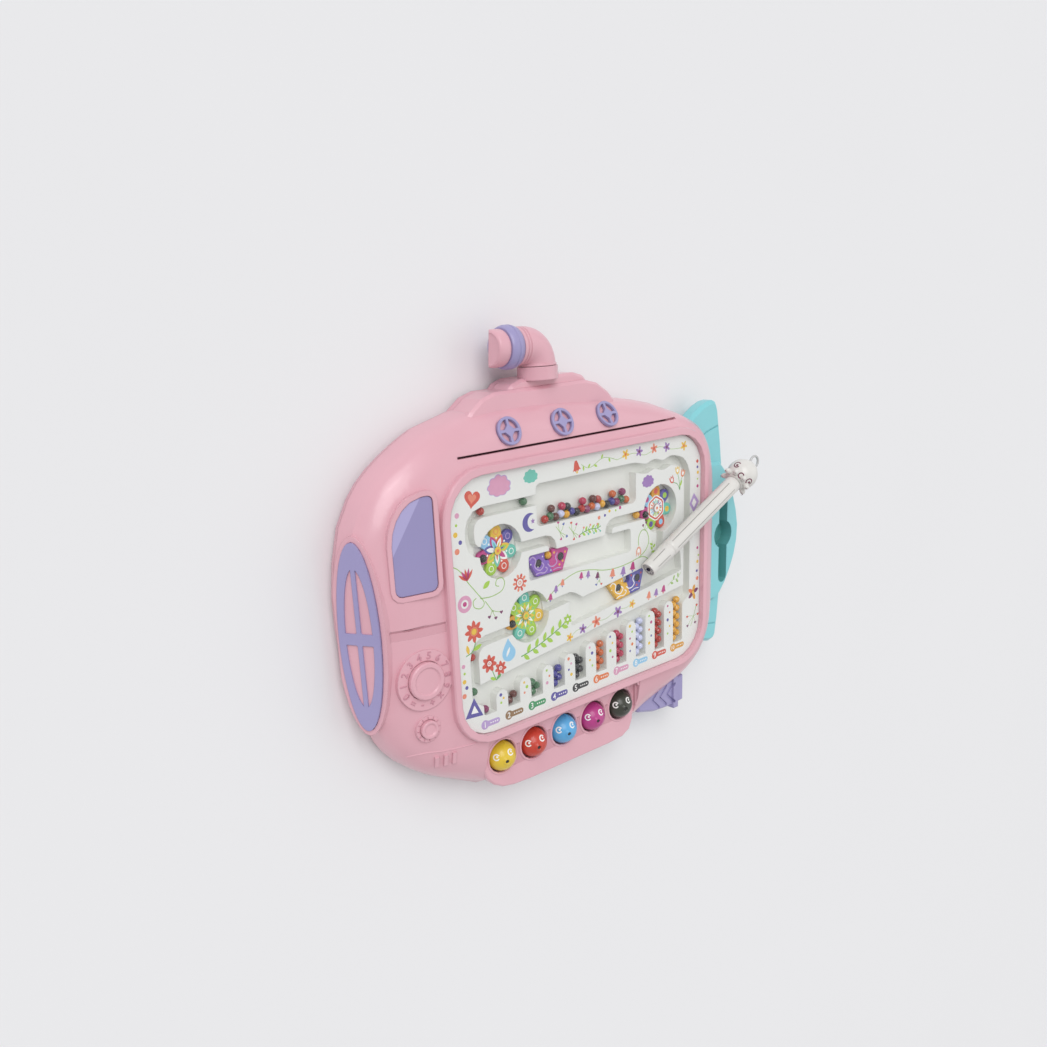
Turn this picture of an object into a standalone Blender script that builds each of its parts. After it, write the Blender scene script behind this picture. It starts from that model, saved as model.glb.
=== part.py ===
"""Magnetic maze board: a submarine-shaped toy that lies on its back, with a magnetic pen.

Metres, +Z up out of the maze, +X towards the tail, +Y towards the periscope.
The origin is on the ground, under the middle of the whole toy's outline.
"""
import math

import bmesh
import bpy
from mathutils import Matrix, Vector

# Fits
GAP = 0.0003
PRESS_OUT = 0.001
OVERRUN = 0.006
MERGE = 0.00001

# Maze panel
PANEL_LENGTH = 0.270
PANEL_WIDTH = 0.194
PANEL_CORNER = 0.030
PANEL_TOP = 0.048
PANEL_X = -0.0006
PANEL_Y = -0.0202
COVER_THICKNESS = 0.0015
TRAY_THICKNESS = 0.010
FLANGE_THICKNESS = 0.002
FLANGE_WIDTH = 0.0045
CHANNEL_DEPTH = 0.0070
CHANNEL_WIDTH = 0.0078
CHANNEL_BEND = 0.012
CARRIER_CHANNEL_WIDTH = 0.019
WHEEL_STEP = 0.0012
BEAD_DIAMETER = 0.0062
BEAD_NECK = 0.0006
BASIN_PITCH = 0.0055
BASIN_WAVE = 0.0013

# Body shell
SEAM_HEIGHT = 0.010
REAR_HEIGHT = 0.002
REAR_CHAMFER = 0.006
REAR_LIP = 0.002
DOME_RISE = 0.0355
DOME_FULLNESS = 0.6
BEZEL_WIDTH = 0.006
BEZEL_HEIGHT = 0.005
BEZEL_ROUND = 0.0012
WALL = 0.0025
GROOVE_WIDTH = 0.0012
GROOVE_DEPTH = 0.0009

# Nose
NOSE_Z = 0.026
NOSE_SLOPE = math.radians(60)
NOSE_HALF_LENGTH = 0.068
NOSE_HALF_WIDTH = 0.016
NOSE_FLANGE_MARGIN = 0.004
NOSE_FLANGE_DEPTH = 0.012
NOSE_OPENING_HALF_LENGTH = 0.050
NOSE_OPENING_HALF_WIDTH = 0.0095
NOSE_SPOKE = 0.0032
NOSE_PLATE = 0.0030
NOSE_SEAT_DEPTH = 0.0012

# Side window
WINDOW_LENGTH = 0.0325
WINDOW_WIDTH = 0.0665
WINDOW_TILT = math.radians(11)
WINDOW_FRAME = 0.0035
WINDOW_PROUD = 0.0012
WINDOW_PANE = 0.0022
WINDOW_RECESS = 0.0008

# Dials
DIAL_TILT = math.radians(5)
DIAL_DISC_RADIUS = 0.0225
DIAL_PROUD = 0.0006
DIAL_KNOB_RADIUS = 0.0140
DIAL_KNOB_HEIGHT = 0.0050
DIAL_DISH_RADIUS = 0.0105
DIAL_DISH_DEPTH = 0.0010
KNOB_EDGE_SHARE = 0.07
DIAL_SEAT_DEPTH = 0.0015
SMALL_DISC_RADIUS = 0.0102
SMALL_KNOB_RADIUS = 0.0070
SMALL_KNOB_HEIGHT = 0.0042
SMALL_DISH_RADIUS = 0.0050
RIB_LENGTH = 0.010
RIB_WIDTH = 0.0034
RIB_PITCH = 0.0068
RIB_PROUD = 0.0013
RIB_COUNT = 3

# Portholes and card slot
PORTHOLE_RADIUS = 0.0105
PORTHOLE_RIM = 0.0021
PORTHOLE_THICKNESS = 0.0026
PORTHOLE_SPOKE = 0.0016
PORTHOLE_HUB = 0.0060
PORTHOLE_SEAT_DEPTH = 0.0012
SLOT_LENGTH = 0.227
SLOT_WIDTH = 0.0016
SLOT_DEPTH = 0.006

# Fish
SHELF_HEIGHT = 0.038
WELL_RADIUS = 0.0136
WELL_FLOOR = 0.0230
WELL_PITCH = 0.0331
WELL_WALL = 0.002
SHELF_EDGE = 0.0012
FISH_RADIUS = 0.0124
FISH_HEIGHT = 0.0250
FISH_FOOT_RADIUS = 0.0062
FISH_FIN = 0.0016
MOUTH_RADIUS = 0.0024
MOUTH_DEPTH = 0.0040
FISH_COUNT = 5
FIN_TURN = math.radians(-98)
MOUTH_LEAN = math.radians(-14)

# Tower and periscope
TOWER_HEIGHT = 0.0320
TOWER_STEP_HEIGHT = 0.0285
TOWER_CHAMFER = 0.0022
TOWER_ROUND = 0.006
COLLAR_RADIUS = 0.0150
COLLAR_DEPTH = 0.0095
PIPE_RADIUS = 0.0135
PIPE_BEND = 0.0145
PIPE_STRAIGHT = 0.0080
SPIGOT_RADIUS = 0.0090
SPIGOT_LENGTH = 0.0075
NECK_RADIUS = 0.0100
NECK_LENGTH = 0.0165
RING_RADIUS = 0.0155
RING_WIDTH = 0.0120
CAP_LENGTH = 0.0100
CAP_RADIUS = 0.0132
PIPE_GROOVE = 0.0012

# Tail and thruster
TAIL_BOTTOM = 0.0060
TAIL_LOBE_BOTTOM = 0.0150
TAIL_LOBE_TOP = 0.0270
TAIL_POD_TOP = 0.0310
TAIL_CHAMFER = 0.0030
PEN_GROOVE_LENGTH = 0.090
PEN_GROOVE_WIDTH = 0.0115
PEN_GROOVE_DEPTH = 0.0095
SCOOP_RADIUS = 0.0125
SCOOP_DEPTH = 0.0120
THRUSTER_BOTTOM = 0.0080
THRUSTER_TOP = 0.0300
THRUSTER_CHAMFER = 0.0020
BAND_PROUD = 0.0020
CHEVRON_COUNT = 3

# Rear
LEG_LENGTH = 0.125
LEG_WIDTH = 0.030
LEG_DEPTH = 0.015
LEG_WALL = 0.0022
LEG_FOOT_WIDTH = 0.034
LEG_FOOT_LENGTH = 0.016
LEG_PANEL_LENGTH = 0.078
LEG_PANEL_WIDTH = 0.016
LEG_PANEL_DEPTH = 0.0008
LEG_CLEARANCE = 0.0010
PIN_RADIUS = 0.0025
PIN_GRIP = 0.0030
POCKET_WALL = 0.0020
BOARD_LENGTH = 0.190
BOARD_MARGIN = 0.005
BOARD_THICKNESS = 0.0024
BOARD_CORNER = 0.008
BOARD_FRAME = 0.007
FOOT_RADIUS = 0.0070
SCREW_HEAD_RADIUS = 0.0030
SCREW_HEAD_HEIGHT = 0.0020
SCREW_RADIUS = 0.0015
SCREW_LENGTH = 0.014
SCREW_SINK = 0.0005
BOSS_RADIUS = 0.0042

# Flower wheels
PETALS = 7
PETAL_RADIUS = 0.0045
PETAL_RING = 0.0145
WHEEL_CLEARANCE = 0.0010
WHEEL_BASE = 0.0008
WHEEL_THICKNESS = 0.0030
CUP_RADIUS = 0.0034
AXLE_RADIUS = 0.0017
AXLE_HEAD_RADIUS = 0.0032
AXLE_HEAD_HEIGHT = 0.0009
AXLE_DEPTH = 0.0055
AXLE_BOSS_RADIUS = 0.0040
FIRST_PETAL_ANGLE = math.radians(90)

# Carriers
CARRIER_LENGTH = 0.0425
CARRIER_WIDTH = 0.0180
CARRIER_THICKNESS = 0.0040
MAGNET_RADIUS = 0.0030
MAGNET_THICKNESS = 0.0015
CARRIER_CLEARANCE = 0.0010

# Counting slots
SLOT_COUNT = 10
COUNT_WIDTH = 0.0120
BEAD_STAGGER = 0.0044
BEAD_RISE = 0.00375

# Pen
PEN_RADIUS = 0.00725
PEN_TURN = math.atan2(0.4722, 0.8815)
PEN_TIP_LENGTH = 0.0270
PEN_TIP_RADIUS = 0.0030
PEN_BODY_LENGTH = 0.0900
PEN_SPIGOT_RADIUS = 0.0040
PEN_SPIGOT_LENGTH = 0.0100
PEN_MAGNET_RADIUS = 0.0017
PEN_MAGNET_LENGTH = 0.0070
PEN_FLUTE_WIDTH = 0.0012
PEN_FLUTE_LENGTH = 0.0700
PEN_HEAD_RADIUS = 0.0132
PEN_LOOP_RADIUS = 0.0052
PEN_LOOP_WIRE = 0.0011
TENTACLE_RADIUS = 0.0034
TENTACLE_COUNT = 8
PEN_FLUTES = 6

# Worked out
TRAY_TOP = PANEL_TOP - COVER_THICKNESS - GAP
CHANNEL_FLOOR = TRAY_TOP - CHANNEL_DEPTH
WHEEL_FLOOR = CHANNEL_FLOOR - WHEEL_STEP
TRAY_BOTTOM = TRAY_TOP - TRAY_THICKNESS
LEDGE_TOP = TRAY_TOP - FLANGE_THICKNESS - GAP
DOME_TOP = SEAM_HEIGHT + DOME_RISE
BEZEL_TOP = DOME_TOP + BEZEL_HEIGHT
BEAD_RADIUS = BEAD_DIAMETER / 2
BEAD_Z = CHANNEL_FLOOR + GAP + BEAD_RADIUS
WHEEL_RADIUS = PETAL_RING + PETAL_RADIUS
RECESS_RADIUS = WHEEL_RADIUS + WHEEL_CLEARANCE
PIN_HEIGHT = REAR_HEIGHT + LEG_CLEARANCE / 2 + LEG_DEPTH / 2
POCKET_TOP = PIN_HEIGHT + LEG_DEPTH / 2 + LEG_CLEARANCE
PERISCOPE_Z = SEAM_HEIGHT + COLLAR_RADIUS
RIGHT_HALF = PANEL_LENGTH / 2
TOP_HALF = PANEL_WIDTH / 2

# Places, as shares of the panel's half length and half width from its middle
HULL_SHARES = [
    (1.252, 0.0), (1.252, 0.464), (1.230, 0.701), (1.163, 0.907), (1.044, 1.072), (0.733, 1.258),
    (0.444, 1.351), (0.074, 1.412), (-0.333, 1.443), (-0.681, 1.433), (-0.970, 1.351), (-1.281, 1.103),
    (-1.444, 0.835), (-1.519, 0.515), (-1.548, 0.144), (-1.530, -0.237), (-1.481, -0.598), (-1.378, -0.959),
    (-1.207, -1.216), (-0.970, -1.402), (-0.830, -1.505), (-0.704, -1.552), (-0.130, -1.541), (0.444, -1.515),
    (0.578, -1.443), (0.874, -1.309), (1.081, -1.144), (1.185, -0.969), (1.244, -0.742), (1.252, -0.361),
]
WHEEL_SHARES = [(-0.653, 0.403), (-0.473, -0.169), (0.622, 0.411)]
SHELF_SHARES = [
    (-0.805, -1.090), (-0.815, -1.354), (-0.790, -1.440), (-0.742, -1.515), (-0.675, -1.565), (-0.590, -1.590),
    (-0.448, -1.600), (0.209, -1.605), (0.330, -1.595), (0.395, -1.550), (0.425, -1.460), (0.440, -1.090),
]
FIRST_WELL_SHARES = (-0.673, -1.289)
LAST_WELL_SHARES = (0.308, -1.270)
PORTHOLE_SHARES = [(-0.535, 1.262), (-0.150, 1.262), (0.210, 1.262)]
SLOT_SHARES = (-0.052, 1.136)
TOWER_SHARES = [
    (-0.800, 1.300), (-0.715, 1.420), (-0.635, 1.500), (-0.545, 1.535), (0.120, 1.535), (0.215, 1.500),
    (0.305, 1.420), (0.390, 1.300),
]
TOWER_STEP_SHARES = [
    (-0.520, 1.380), (-0.465, 1.490), (-0.405, 1.570), (-0.335, 1.600), (0.055, 1.600), (0.125, 1.570),
    (0.185, 1.490), (0.240, 1.380),
]
PERISCOPE_SHARES = (-0.200, 1.680)
TAIL_LOBE_SHARES = [
    (1.000, 0.960), (1.060, 1.045), (1.120, 1.110), (1.185, 1.160), (1.250, 1.192), (1.305, 1.200),
    (1.340, 1.178), (1.358, 1.110), (1.392, 0.820), (1.415, 0.560), (1.415, -0.540), (1.392, -0.860),
    (1.372, -1.030), (1.350, -1.072), (1.310, -1.084), (1.250, -1.064), (1.190, -1.026), (1.050, -0.920),
]
TAIL_POD_SHARES = [
    (1.100, 0.660), (1.350, 0.650), (1.415, 0.560), (1.463, 0.440), (1.505, 0.310), (1.538, 0.170),
    (1.558, 0.020), (1.552, -0.130), (1.526, -0.270), (1.484, -0.400), (1.432, -0.520), (1.370, -0.620),
    (1.310, -0.660), (1.100, -0.670),
]
TAIL_LINE_SHARES = [(1.130, 0.860), (1.240, 0.934), (1.400, 0.985)]
TAIL_LOWER_LINE_SHARES = [(1.130, -0.830), (1.252, -0.887), (1.400, -0.918)]
PEN_GROOVE_SHARES = (1.385, -0.040)
THRUSTER_SHARES = [
    (0.531, -1.418), (0.578, -1.360), (0.700, -1.325), (0.910, -1.288), (0.910, -1.566), (0.700, -1.545),
    (0.554, -1.491),
]
BAND_SHARES = [(0.879, -1.272), (0.925, -1.272), (0.925, -1.580), (0.879, -1.580)]
BOX_SHARES = [(0.895, -1.297), (0.994, -1.290), (0.994, -1.540), (0.895, -1.554)]
NOSE_SHARES = (-1.4815, -0.028)
WINDOW_SHARES = (-1.2037, 0.5876)
DIAL_SHARES = (-1.200, -0.402)
SMALL_DIAL_SHARES = (-1.200, -0.789)
PEN_TIP_SHARES = (0.4385, -0.0567)
LEG_SHARES = [(-1.170, 0.845), (-1.170, -0.845), (0.944, 0.845), (0.944, -0.845)]
SCREW_SHARES = [(-0.889, 1.216), (0.444, 1.225), (0.815, -1.190), (-0.940, -1.240)]
FOOT_SHARES = [(-1.20, 0.55), (-1.20, -0.55), (1.05, 0.60), (1.05, -0.60), (-0.05, 0.72), (-0.05, -0.72)]

# Channel centre lines
F_CHANNEL_SHARES = [(-0.390, 0.727), (-0.859, 0.727), (-0.859, 0.430), (-0.700, 0.430)]
WAVY_CHANNEL_SHARES = [
    (0.390, 0.805), (0.500, 0.770), (0.570, 0.810), (0.640, 0.765), (0.720, 0.805), (0.830, 0.765),
    (0.870, 0.640), (0.870, -0.400),
]
WHEEL_1_RIGHT_SHARES = [(-0.560, 0.395), (-0.278, 0.395), (-0.278, 0.250)]
L_CHANNEL_SHARES = [(0.167, 0.250), (0.167, 0.398), (0.500, 0.398)]
WHEEL_3_LOWER_SHARES = [(0.622, 0.300), (0.610, 0.050), (0.605, -0.100)]
WHEEL_2_RIGHT_SHARES = [(-0.370, -0.140), (-0.150, -0.110), (-0.030, -0.215)]
WHEEL_2_LEFT_SHARES = [(-0.560, -0.225), (-0.878, -0.250), (-0.878, -0.650)]
BASIN_SHARES = [(-0.388, 0.518), (0.404, 0.518), (0.404, 0.846), (-0.388, 0.846)]
CARRIER_1_SHARES = [(-0.391, 0.212), (0.285, 0.212)]
CARRIER_2_SHARES = [(-0.090, -0.253), (0.744, -0.102)]
GALLERY_SHARES = [
    (0.899, -0.440), (0.899, -0.322), (-0.907, -0.590), (-0.907, -0.700),
]
FIRST_SLOT_SHARES = (-0.789, -0.843)
LAST_SLOT_SHARES = (0.788, -0.843)
FIRST_SLOT_TOP_SHARE = -0.760
LAST_SLOT_TOP_SHARE = -0.500
FIRST_DIVIDER_SHARE = -0.680
LAST_DIVIDER_SHARE = -0.436
UPPER_ROW_PLACES = (1, 3, 4, 7, 9, 10, 13, 15)
CHANNEL_BEAD_SHARES = [(-0.760, 0.727), (-0.878, -0.355)]
CARRIER_TRAVEL_SHARES = (0.0, 0.52)
CARRIER_OUTLINE_SHARES = [
    (-0.50, 0.38), (-0.36, 0.50), (-0.088, 0.50), (-0.088, 0.16), (-0.050, 0.10), (0.050, 0.10),
    (0.088, 0.16), (0.088, 0.50), (0.42, 0.50), (0.50, 0.34), (0.34, -0.50), (-0.28, -0.50),
]
CARRIER_MAGNET_SHARES = [(-0.24, 0.06), (0.30, 0.10)]
CARRIER_BEAD_SHARE = 0.300
WINDOW_OUTLINE_SHARES = [
    (-0.5, -0.5), (0.5, -0.5), (0.5, 0.5), (0.25, 0.5), (-0.02, 0.46), (-0.21, 0.39), (-0.36, 0.29),
    (-0.46, 0.17), (-0.5, 0.04),
]
WINDOW_ROUND_SHARES = [0.16, 0.16, 0.16, 0.30, 0.30, 0.30, 0.30, 0.30, 0.30]
PEN_SWELL_SHARE = 0.62
HEAD_SEAT_SHARE = 0.92
FIN_SHARES = [(-1.0, 0.25), (-0.85, 0.80), (-0.45, 1.0), (-0.20, 0.0)]
MOUTH_AXIS_SHARES = (0.0, 1.0, 0.0)
FIRST_CHEVRON_SHARE = 0.31
CHEVRON_PITCH_SHARE = 0.22

# Colours
PINK = (0.76, 0.39, 0.46)
PURPLE = (0.36, 0.32, 0.61)
TEAL = (0.16, 0.58, 0.62)
WHITE = (0.80, 0.80, 0.77)
IVORY = (0.82, 0.80, 0.74)
STEEL = (0.60, 0.60, 0.62)
BLACK = (0.02, 0.02, 0.02)
FISH_COLOURS = [
    (0.85, 0.55, 0.03), (0.70, 0.05, 0.03), (0.08, 0.40, 0.80), (0.60, 0.02, 0.28), (0.04, 0.06, 0.02),
]
SLOT_COLOURS = [
    (0.25, 0.04, 0.16), (0.14, 0.03, 0.02), (0.05, 0.16, 0.07), (0.06, 0.05, 0.26), (0.02, 0.02, 0.02),
    (0.50, 0.13, 0.02), (0.50, 0.02, 0.10), (0.62, 0.64, 0.80), (0.42, 0.02, 0.02), (0.72, 0.42, 0.04),
]
WHEEL_COLOURS = [(0.80, 0.55, 0.05), (0.15, 0.55, 0.50), (0.70, 0.10, 0.25)]
CARRIER_COLOURS = [(0.30, 0.10, 0.45), (0.85, 0.55, 0.05)]


def clear_scene():
    for item in list(bpy.data.objects):
        bpy.data.objects.remove(item, do_unlink=True)


def material(name, colour, roughness=0.35, metallic=0.0, alpha=1.0):
    made = bpy.data.materials.get(name) or bpy.data.materials.new(name)
    made.use_nodes = True
    shader = made.node_tree.nodes["Principled BSDF"]
    shader.inputs["Base Color"].default_value = (*colour, 1.0)
    shader.inputs["Roughness"].default_value = roughness
    shader.inputs["Metallic"].default_value = metallic
    shader.inputs["Alpha"].default_value = alpha
    return made


def place(shares):
    """A point of the board, from shares of the panel's half length and half width."""
    return Vector((shares[0] * RIGHT_HALF, shares[1] * TOP_HALF, 0))


def places(table):
    return [place(shares) for shares in table]


def mesh_from(bm, name):
    bmesh.ops.recalc_face_normals(bm, faces=bm.faces)
    mesh = bpy.data.meshes.new(name)
    bm.to_mesh(mesh)
    bm.free()
    return mesh


def add_object(name, bm, finish, parent, sharp=30):
    mesh = mesh_from(bm, name)
    mesh.materials.append(finish)
    mesh.shade_smooth()
    mesh.set_sharp_from_angle(angle=math.radians(sharp))
    made = bpy.data.objects.new(name, mesh)
    bpy.context.scene.collection.objects.link(made)
    made.parent = parent
    return made


def pivot(name, stand, parent):
    """An empty at a place, or in a matrix, that carries pieces on their joint's axis."""
    made = bpy.data.objects.new(name, None)
    bpy.context.scene.collection.objects.link(made)
    made.parent = parent
    made.matrix_local = stand if isinstance(stand, Matrix) else Matrix.Translation(stand)
    return made


def prism(outline, low, high):
    """A closed body that stands on a flat outline."""
    return loft([[Vector((p.x, p.y, low)) for p in outline], [Vector((p.x, p.y, high)) for p in outline]])


def loft(rings):
    """A closed body through rings of equal count, with a flat face at each end."""
    bm = bmesh.new()
    rows = [[bm.verts.new(p) for p in ring] for ring in rings]
    count = len(rows[0])
    for lower, upper in zip(rows, rows[1:]):
        for i in range(count):
            j = (i + 1) % count
            bm.faces.new((lower[i], lower[j], upper[j], upper[i]))
    bm.faces.new(list(reversed(rows[0])))
    bm.faces.new(rows[-1])
    bmesh.ops.recalc_face_normals(bm, faces=bm.faces)
    return bm


def circle(radius, count, centre=None, start=0.0):
    middle = centre or Vector((0, 0, 0))
    turns = [start + math.tau * i / count for i in range(count)]
    return [middle + Vector((radius * math.cos(t), radius * math.sin(t), 0)) for t in turns]


def ellipse(half_x, half_y, count):
    turns = [math.tau * i / count for i in range(count)]
    return [Vector((half_x * math.cos(t), half_y * math.sin(t), 0)) for t in turns]


def cylinder(radius, low, high, count=24, centre=None):
    return prism(circle(radius, count, centre), low, high)


def turned(profile, count=24):
    """A body turned about Z from (radius, height) pairs; a zero radius ends in a point."""
    bm = bmesh.new()
    rows = []
    for radius, height in profile:
        if radius == 0:
            rows.append([bm.verts.new((0, 0, height))])
        else:
            rows.append([bm.verts.new(p + Vector((0, 0, height))) for p in circle(radius, count)])
    for lower, upper in zip(rows, rows[1:]):
        for i in range(count):
            j = (i + 1) % count
            if len(lower) == 1:
                bm.faces.new((lower[0], upper[j], upper[i]))
            elif len(upper) == 1:
                bm.faces.new((lower[i], lower[j], upper[0]))
            else:
                bm.faces.new((lower[i], lower[j], upper[j], upper[i]))
    if len(rows[0]) > 1:
        bm.faces.new(list(reversed(rows[0])))
    if len(rows[-1]) > 1:
        bm.faces.new(rows[-1])
    bmesh.ops.recalc_face_normals(bm, faces=bm.faces)
    return bm


def box(size_x, size_y, low, high, centre=None):
    middle = centre or Vector((0, 0, 0))
    half = Vector((size_x / 2, size_y / 2, 0))
    corners = [(-1, -1), (1, -1), (1, 1), (-1, 1)]
    return prism([middle + Vector((half.x * sx, half.y * sy, 0)) for sx, sy in corners], low, high)


def moved(bm, matrix):
    bmesh.ops.transform(bm, matrix=matrix, verts=bm.verts)
    return bm


def shifted(bm, offset):
    return moved(bm, Matrix.Translation(offset))


def combined(target, tools, operation="DIFFERENCE"):
    """The target cut by, or united with, each tool in turn; flat faces are cleaned afterwards."""
    mesh = mesh_from(target, "work")
    body = bpy.data.objects.new("work", mesh)
    bpy.context.scene.collection.objects.link(body)
    for tool in tools:
        tool_mesh = mesh_from(tool, "tool")
        cutter = bpy.data.objects.new("tool", tool_mesh)
        bpy.context.scene.collection.objects.link(cutter)
        step = body.modifiers.new("cut", "BOOLEAN")
        step.operation = operation
        step.object = cutter
        result = bpy.data.meshes.new_from_object(body.evaluated_get(bpy.context.evaluated_depsgraph_get()))
        body.modifiers.clear()
        body.data = result
        bpy.data.objects.remove(cutter, do_unlink=True)
    bm = bmesh.new()
    bm.from_mesh(body.data)
    bpy.data.objects.remove(body, do_unlink=True)
    return cleaned(bm)


def cleaned(bm):
    bmesh.ops.remove_doubles(bm, verts=bm.verts, dist=MERGE)
    bmesh.ops.dissolve_degenerate(bm, edges=bm.edges, dist=MERGE)
    bmesh.ops.dissolve_limit(bm, angle_limit=math.radians(0.5), verts=bm.verts, edges=bm.edges)
    bmesh.ops.triangulate(bm, faces=bm.faces)
    return bm


def cut(target, *tools):
    return combined(target, tools)


def united(target, *tools):
    return combined(target, tools, "UNION")


def rounded_corner(before, corner, after, radius, steps):
    """Points of the arc that rounds one corner."""
    first = (before - corner).normalized()
    second = (after - corner).normalized()
    angle = first.angle(second)
    if angle > math.radians(179):
        return [corner]
    reach = radius / math.tan(angle / 2)
    reach = min(reach, (before - corner).length / 2, (after - corner).length / 2)
    radius = reach * math.tan(angle / 2)
    middle = corner + (first + second).normalized() * (radius / math.sin(angle / 2))
    start = corner + first * reach - middle
    end = corner + second * reach - middle
    sweep = start.angle(end)
    axis = start.cross(end).normalized()
    return [middle + Matrix.Rotation(sweep * i / steps, 3, axis) @ start for i in range(steps + 1)]


def rounded(corners, radii, steps=4):
    """A closed outline with a round at each corner."""
    outline = []
    count = len(corners)
    for i in range(count):
        outline += rounded_corner(corners[i - 1], corners[i], corners[(i + 1) % count], radii[i], steps)
    return outline


def rounded_path(points, radius, steps=3):
    """An open line with round bends."""
    path = [points[0]]
    for before, corner, after in zip(points, points[1:], points[2:]):
        path += rounded_corner(before, corner, after, radius, steps)
    path.append(points[-1])
    return path


def spaced(path, least):
    """A line without the points that lie too close after the one before."""
    return [path[0]] + [p for last, p in zip(path, path[1:]) if (p - last).length > least]


def rounded_rectangle(length, width, radius, steps=5):
    half = Vector((length / 2, width / 2, 0))
    corners = [Vector((half.x * sx, half.y * sy, 0)) for sx, sy in ((-1, -1), (1, -1), (1, 1), (-1, 1))]
    return rounded(corners, [radius] * len(corners), steps)


def ribbon(points, width, steps=4, bend=None):
    """The outline of a band of even width along a line, with round ends."""
    path = spaced(rounded_path(points, bend or CHANNEL_BEND), width / 6)
    half = width / 2
    left = []
    right = []
    for i, point in enumerate(path):
        ahead = path[min(i + 1, len(path) - 1)]
        behind = path[max(i - 1, 0)]
        side = (ahead - behind).normalized().cross(Vector((0, 0, 1)))
        left.append(point - side * half)
        right.append(point + side * half)
    end = half_circle(path[-1], right[-1] - path[-1], steps)
    start = half_circle(path[0], left[0] - path[0], steps)
    return right + end + list(reversed(left)) + start


def strip(start, end, width, radius):
    """A straight band that runs past both ends by half its width, with rounded corners."""
    along = (end - start).normalized() * width / 2
    side = Vector((-along.y, along.x, 0))
    corners = [start - along - side, end + along - side, end + along + side, start - along + side]
    return rounded(corners, [radius] * len(corners), 3)


def half_circle(centre, spoke, steps):
    """Points between two sides of a round end, counter-clockwise from the spoke."""
    turns = [math.pi * i / steps for i in range(1, steps)]
    return [centre + Matrix.Rotation(t, 3, "Z") @ spoke for t in turns]


def inset(outline, distance):
    """An outline moved inwards along the bisectors of its corners."""
    area = sum(a.x * b.y - b.x * a.y for a, b in zip(outline, outline[1:] + outline[:1]))
    turn = 1 if area > 0 else -1
    result = []
    count = len(outline)
    for i, point in enumerate(outline):
        ahead = (outline[(i + 1) % count] - point).normalized()
        behind = (point - outline[i - 1]).normalized()
        inward = (Vector((-ahead.y, ahead.x, 0)) + Vector((-behind.y, behind.x, 0))).normalized() * turn
        lean = max(0.4, inward.dot(Vector((-ahead.y, ahead.x, 0)) * turn))
        result.append(point + inward * distance / lean)
    return result


def chamfered_prism(outline, low, high, chamfer):
    smaller = inset(outline, chamfer)
    rings = [(outline, low), (outline, high - chamfer), (smaller, high)]
    return loft([[Vector((p.x, p.y, z)) for p in ring] for ring, z in rings])


def smooth_closed(points, steps=5):
    """A closed Catmull-Rom line through the points."""
    line = []
    count = len(points)
    for i in range(count):
        p0, p1, p2, p3 = (points[(i + k) % count] for k in (-1, 0, 1, 2))
        for step in range(steps):
            t = step / steps
            square = t * t
            cube = square * t
            line.append(0.5 * ((2 * p1) + (p2 - p0) * t + (2 * p0 - 5 * p1 + 4 * p2 - p3) * square
                               + (3 * p1 - p0 - 3 * p2 + p3) * cube))
    return line


def reach_along(outline, angle):
    """How far an outline lies from the origin in one direction."""
    ray = Vector((math.cos(angle), math.sin(angle), 0))
    for a, b in zip(outline, outline[1:] + outline[:1]):
        edge = b - a
        across = ray.x * edge.y - ray.y * edge.x
        if across == 0:
            continue
        along = (a.x * edge.y - a.y * edge.x) / across
        share = (a.x * ray.y - a.y * ray.x) / across
        if along > 0 and -1e-9 <= share <= 1 + 1e-9:
            return along
    raise ValueError("the outline doesn't go round the origin")


HULL = smooth_closed(places(HULL_SHARES))
BEZEL_REACH = 2 * (GAP + BEZEL_WIDTH)
BEZEL_LENGTH = PANEL_LENGTH + BEZEL_REACH
BEZEL_OUTER = rounded_rectangle(BEZEL_LENGTH, PANEL_WIDTH + BEZEL_REACH, PANEL_CORNER + BEZEL_WIDTH, 6)


def body_angles(spokes):
    """Directions for the rings of the body: evenly spread, with all those of the bezel's corners."""
    angles = [math.tau * i / spokes for i in range(spokes)]
    for point in BEZEL_OUTER:
        angle = math.atan2(point.y, point.x) % math.tau
        angles = [a for a in angles if abs(a - angle) > math.pi / spokes * 0.8]
        angles.append(angle)
    return sorted(angles)


def body_ring(angles, share, height, inward=0.0):
    """A ring between the hull, share 0, and the bezel's foot, share 1."""
    ring = []
    for angle in angles:
        outer = reach_along(HULL, angle)
        inner = reach_along(BEZEL_OUTER, angle)
        reach = outer + (inner - outer) * share - inward
        ring.append(Vector((reach * math.cos(angle), reach * math.sin(angle), height)))
    return ring


def dome_share_height(share):
    """Height of the dome at a share of the way from the hull to the bezel."""
    lean = math.sqrt(max(0.0, 1 - (1 - share) ** 2))
    return SEAM_HEIGHT + DOME_RISE * lean ** DOME_FULLNESS


def dome_height(x, y):
    angle = math.atan2(y, x)
    outer = reach_along(HULL, angle)
    inner = reach_along(BEZEL_OUTER, angle)
    share = (outer - math.hypot(x, y)) / (outer - inner)
    return dome_share_height(min(1.0, max(0.0, share)))


def dome_frame(x, y, span):
    """A matrix that puts local Z along the dome's normal at a place on it, and local X along the board."""
    height = dome_height(x, y)
    slope_x = (dome_height(x + span, y) - dome_height(x - span, y)) / (2 * span)
    slope_y = (dome_height(x, y + span) - dome_height(x, y - span)) / (2 * span)
    normal = Vector((-slope_x, -slope_y, 1)).normalized()
    side = Vector((0, 1, 0)).cross(normal).normalized()
    turn = Matrix((side, normal.cross(side), normal)).transposed().to_4x4()
    return Matrix.Translation((x, y, height)) @ turn


BODY_ANGLES = body_angles(54)
DOME_STEPS = [0.03, 0.12, 0.28, 0.55, 1.0]


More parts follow.
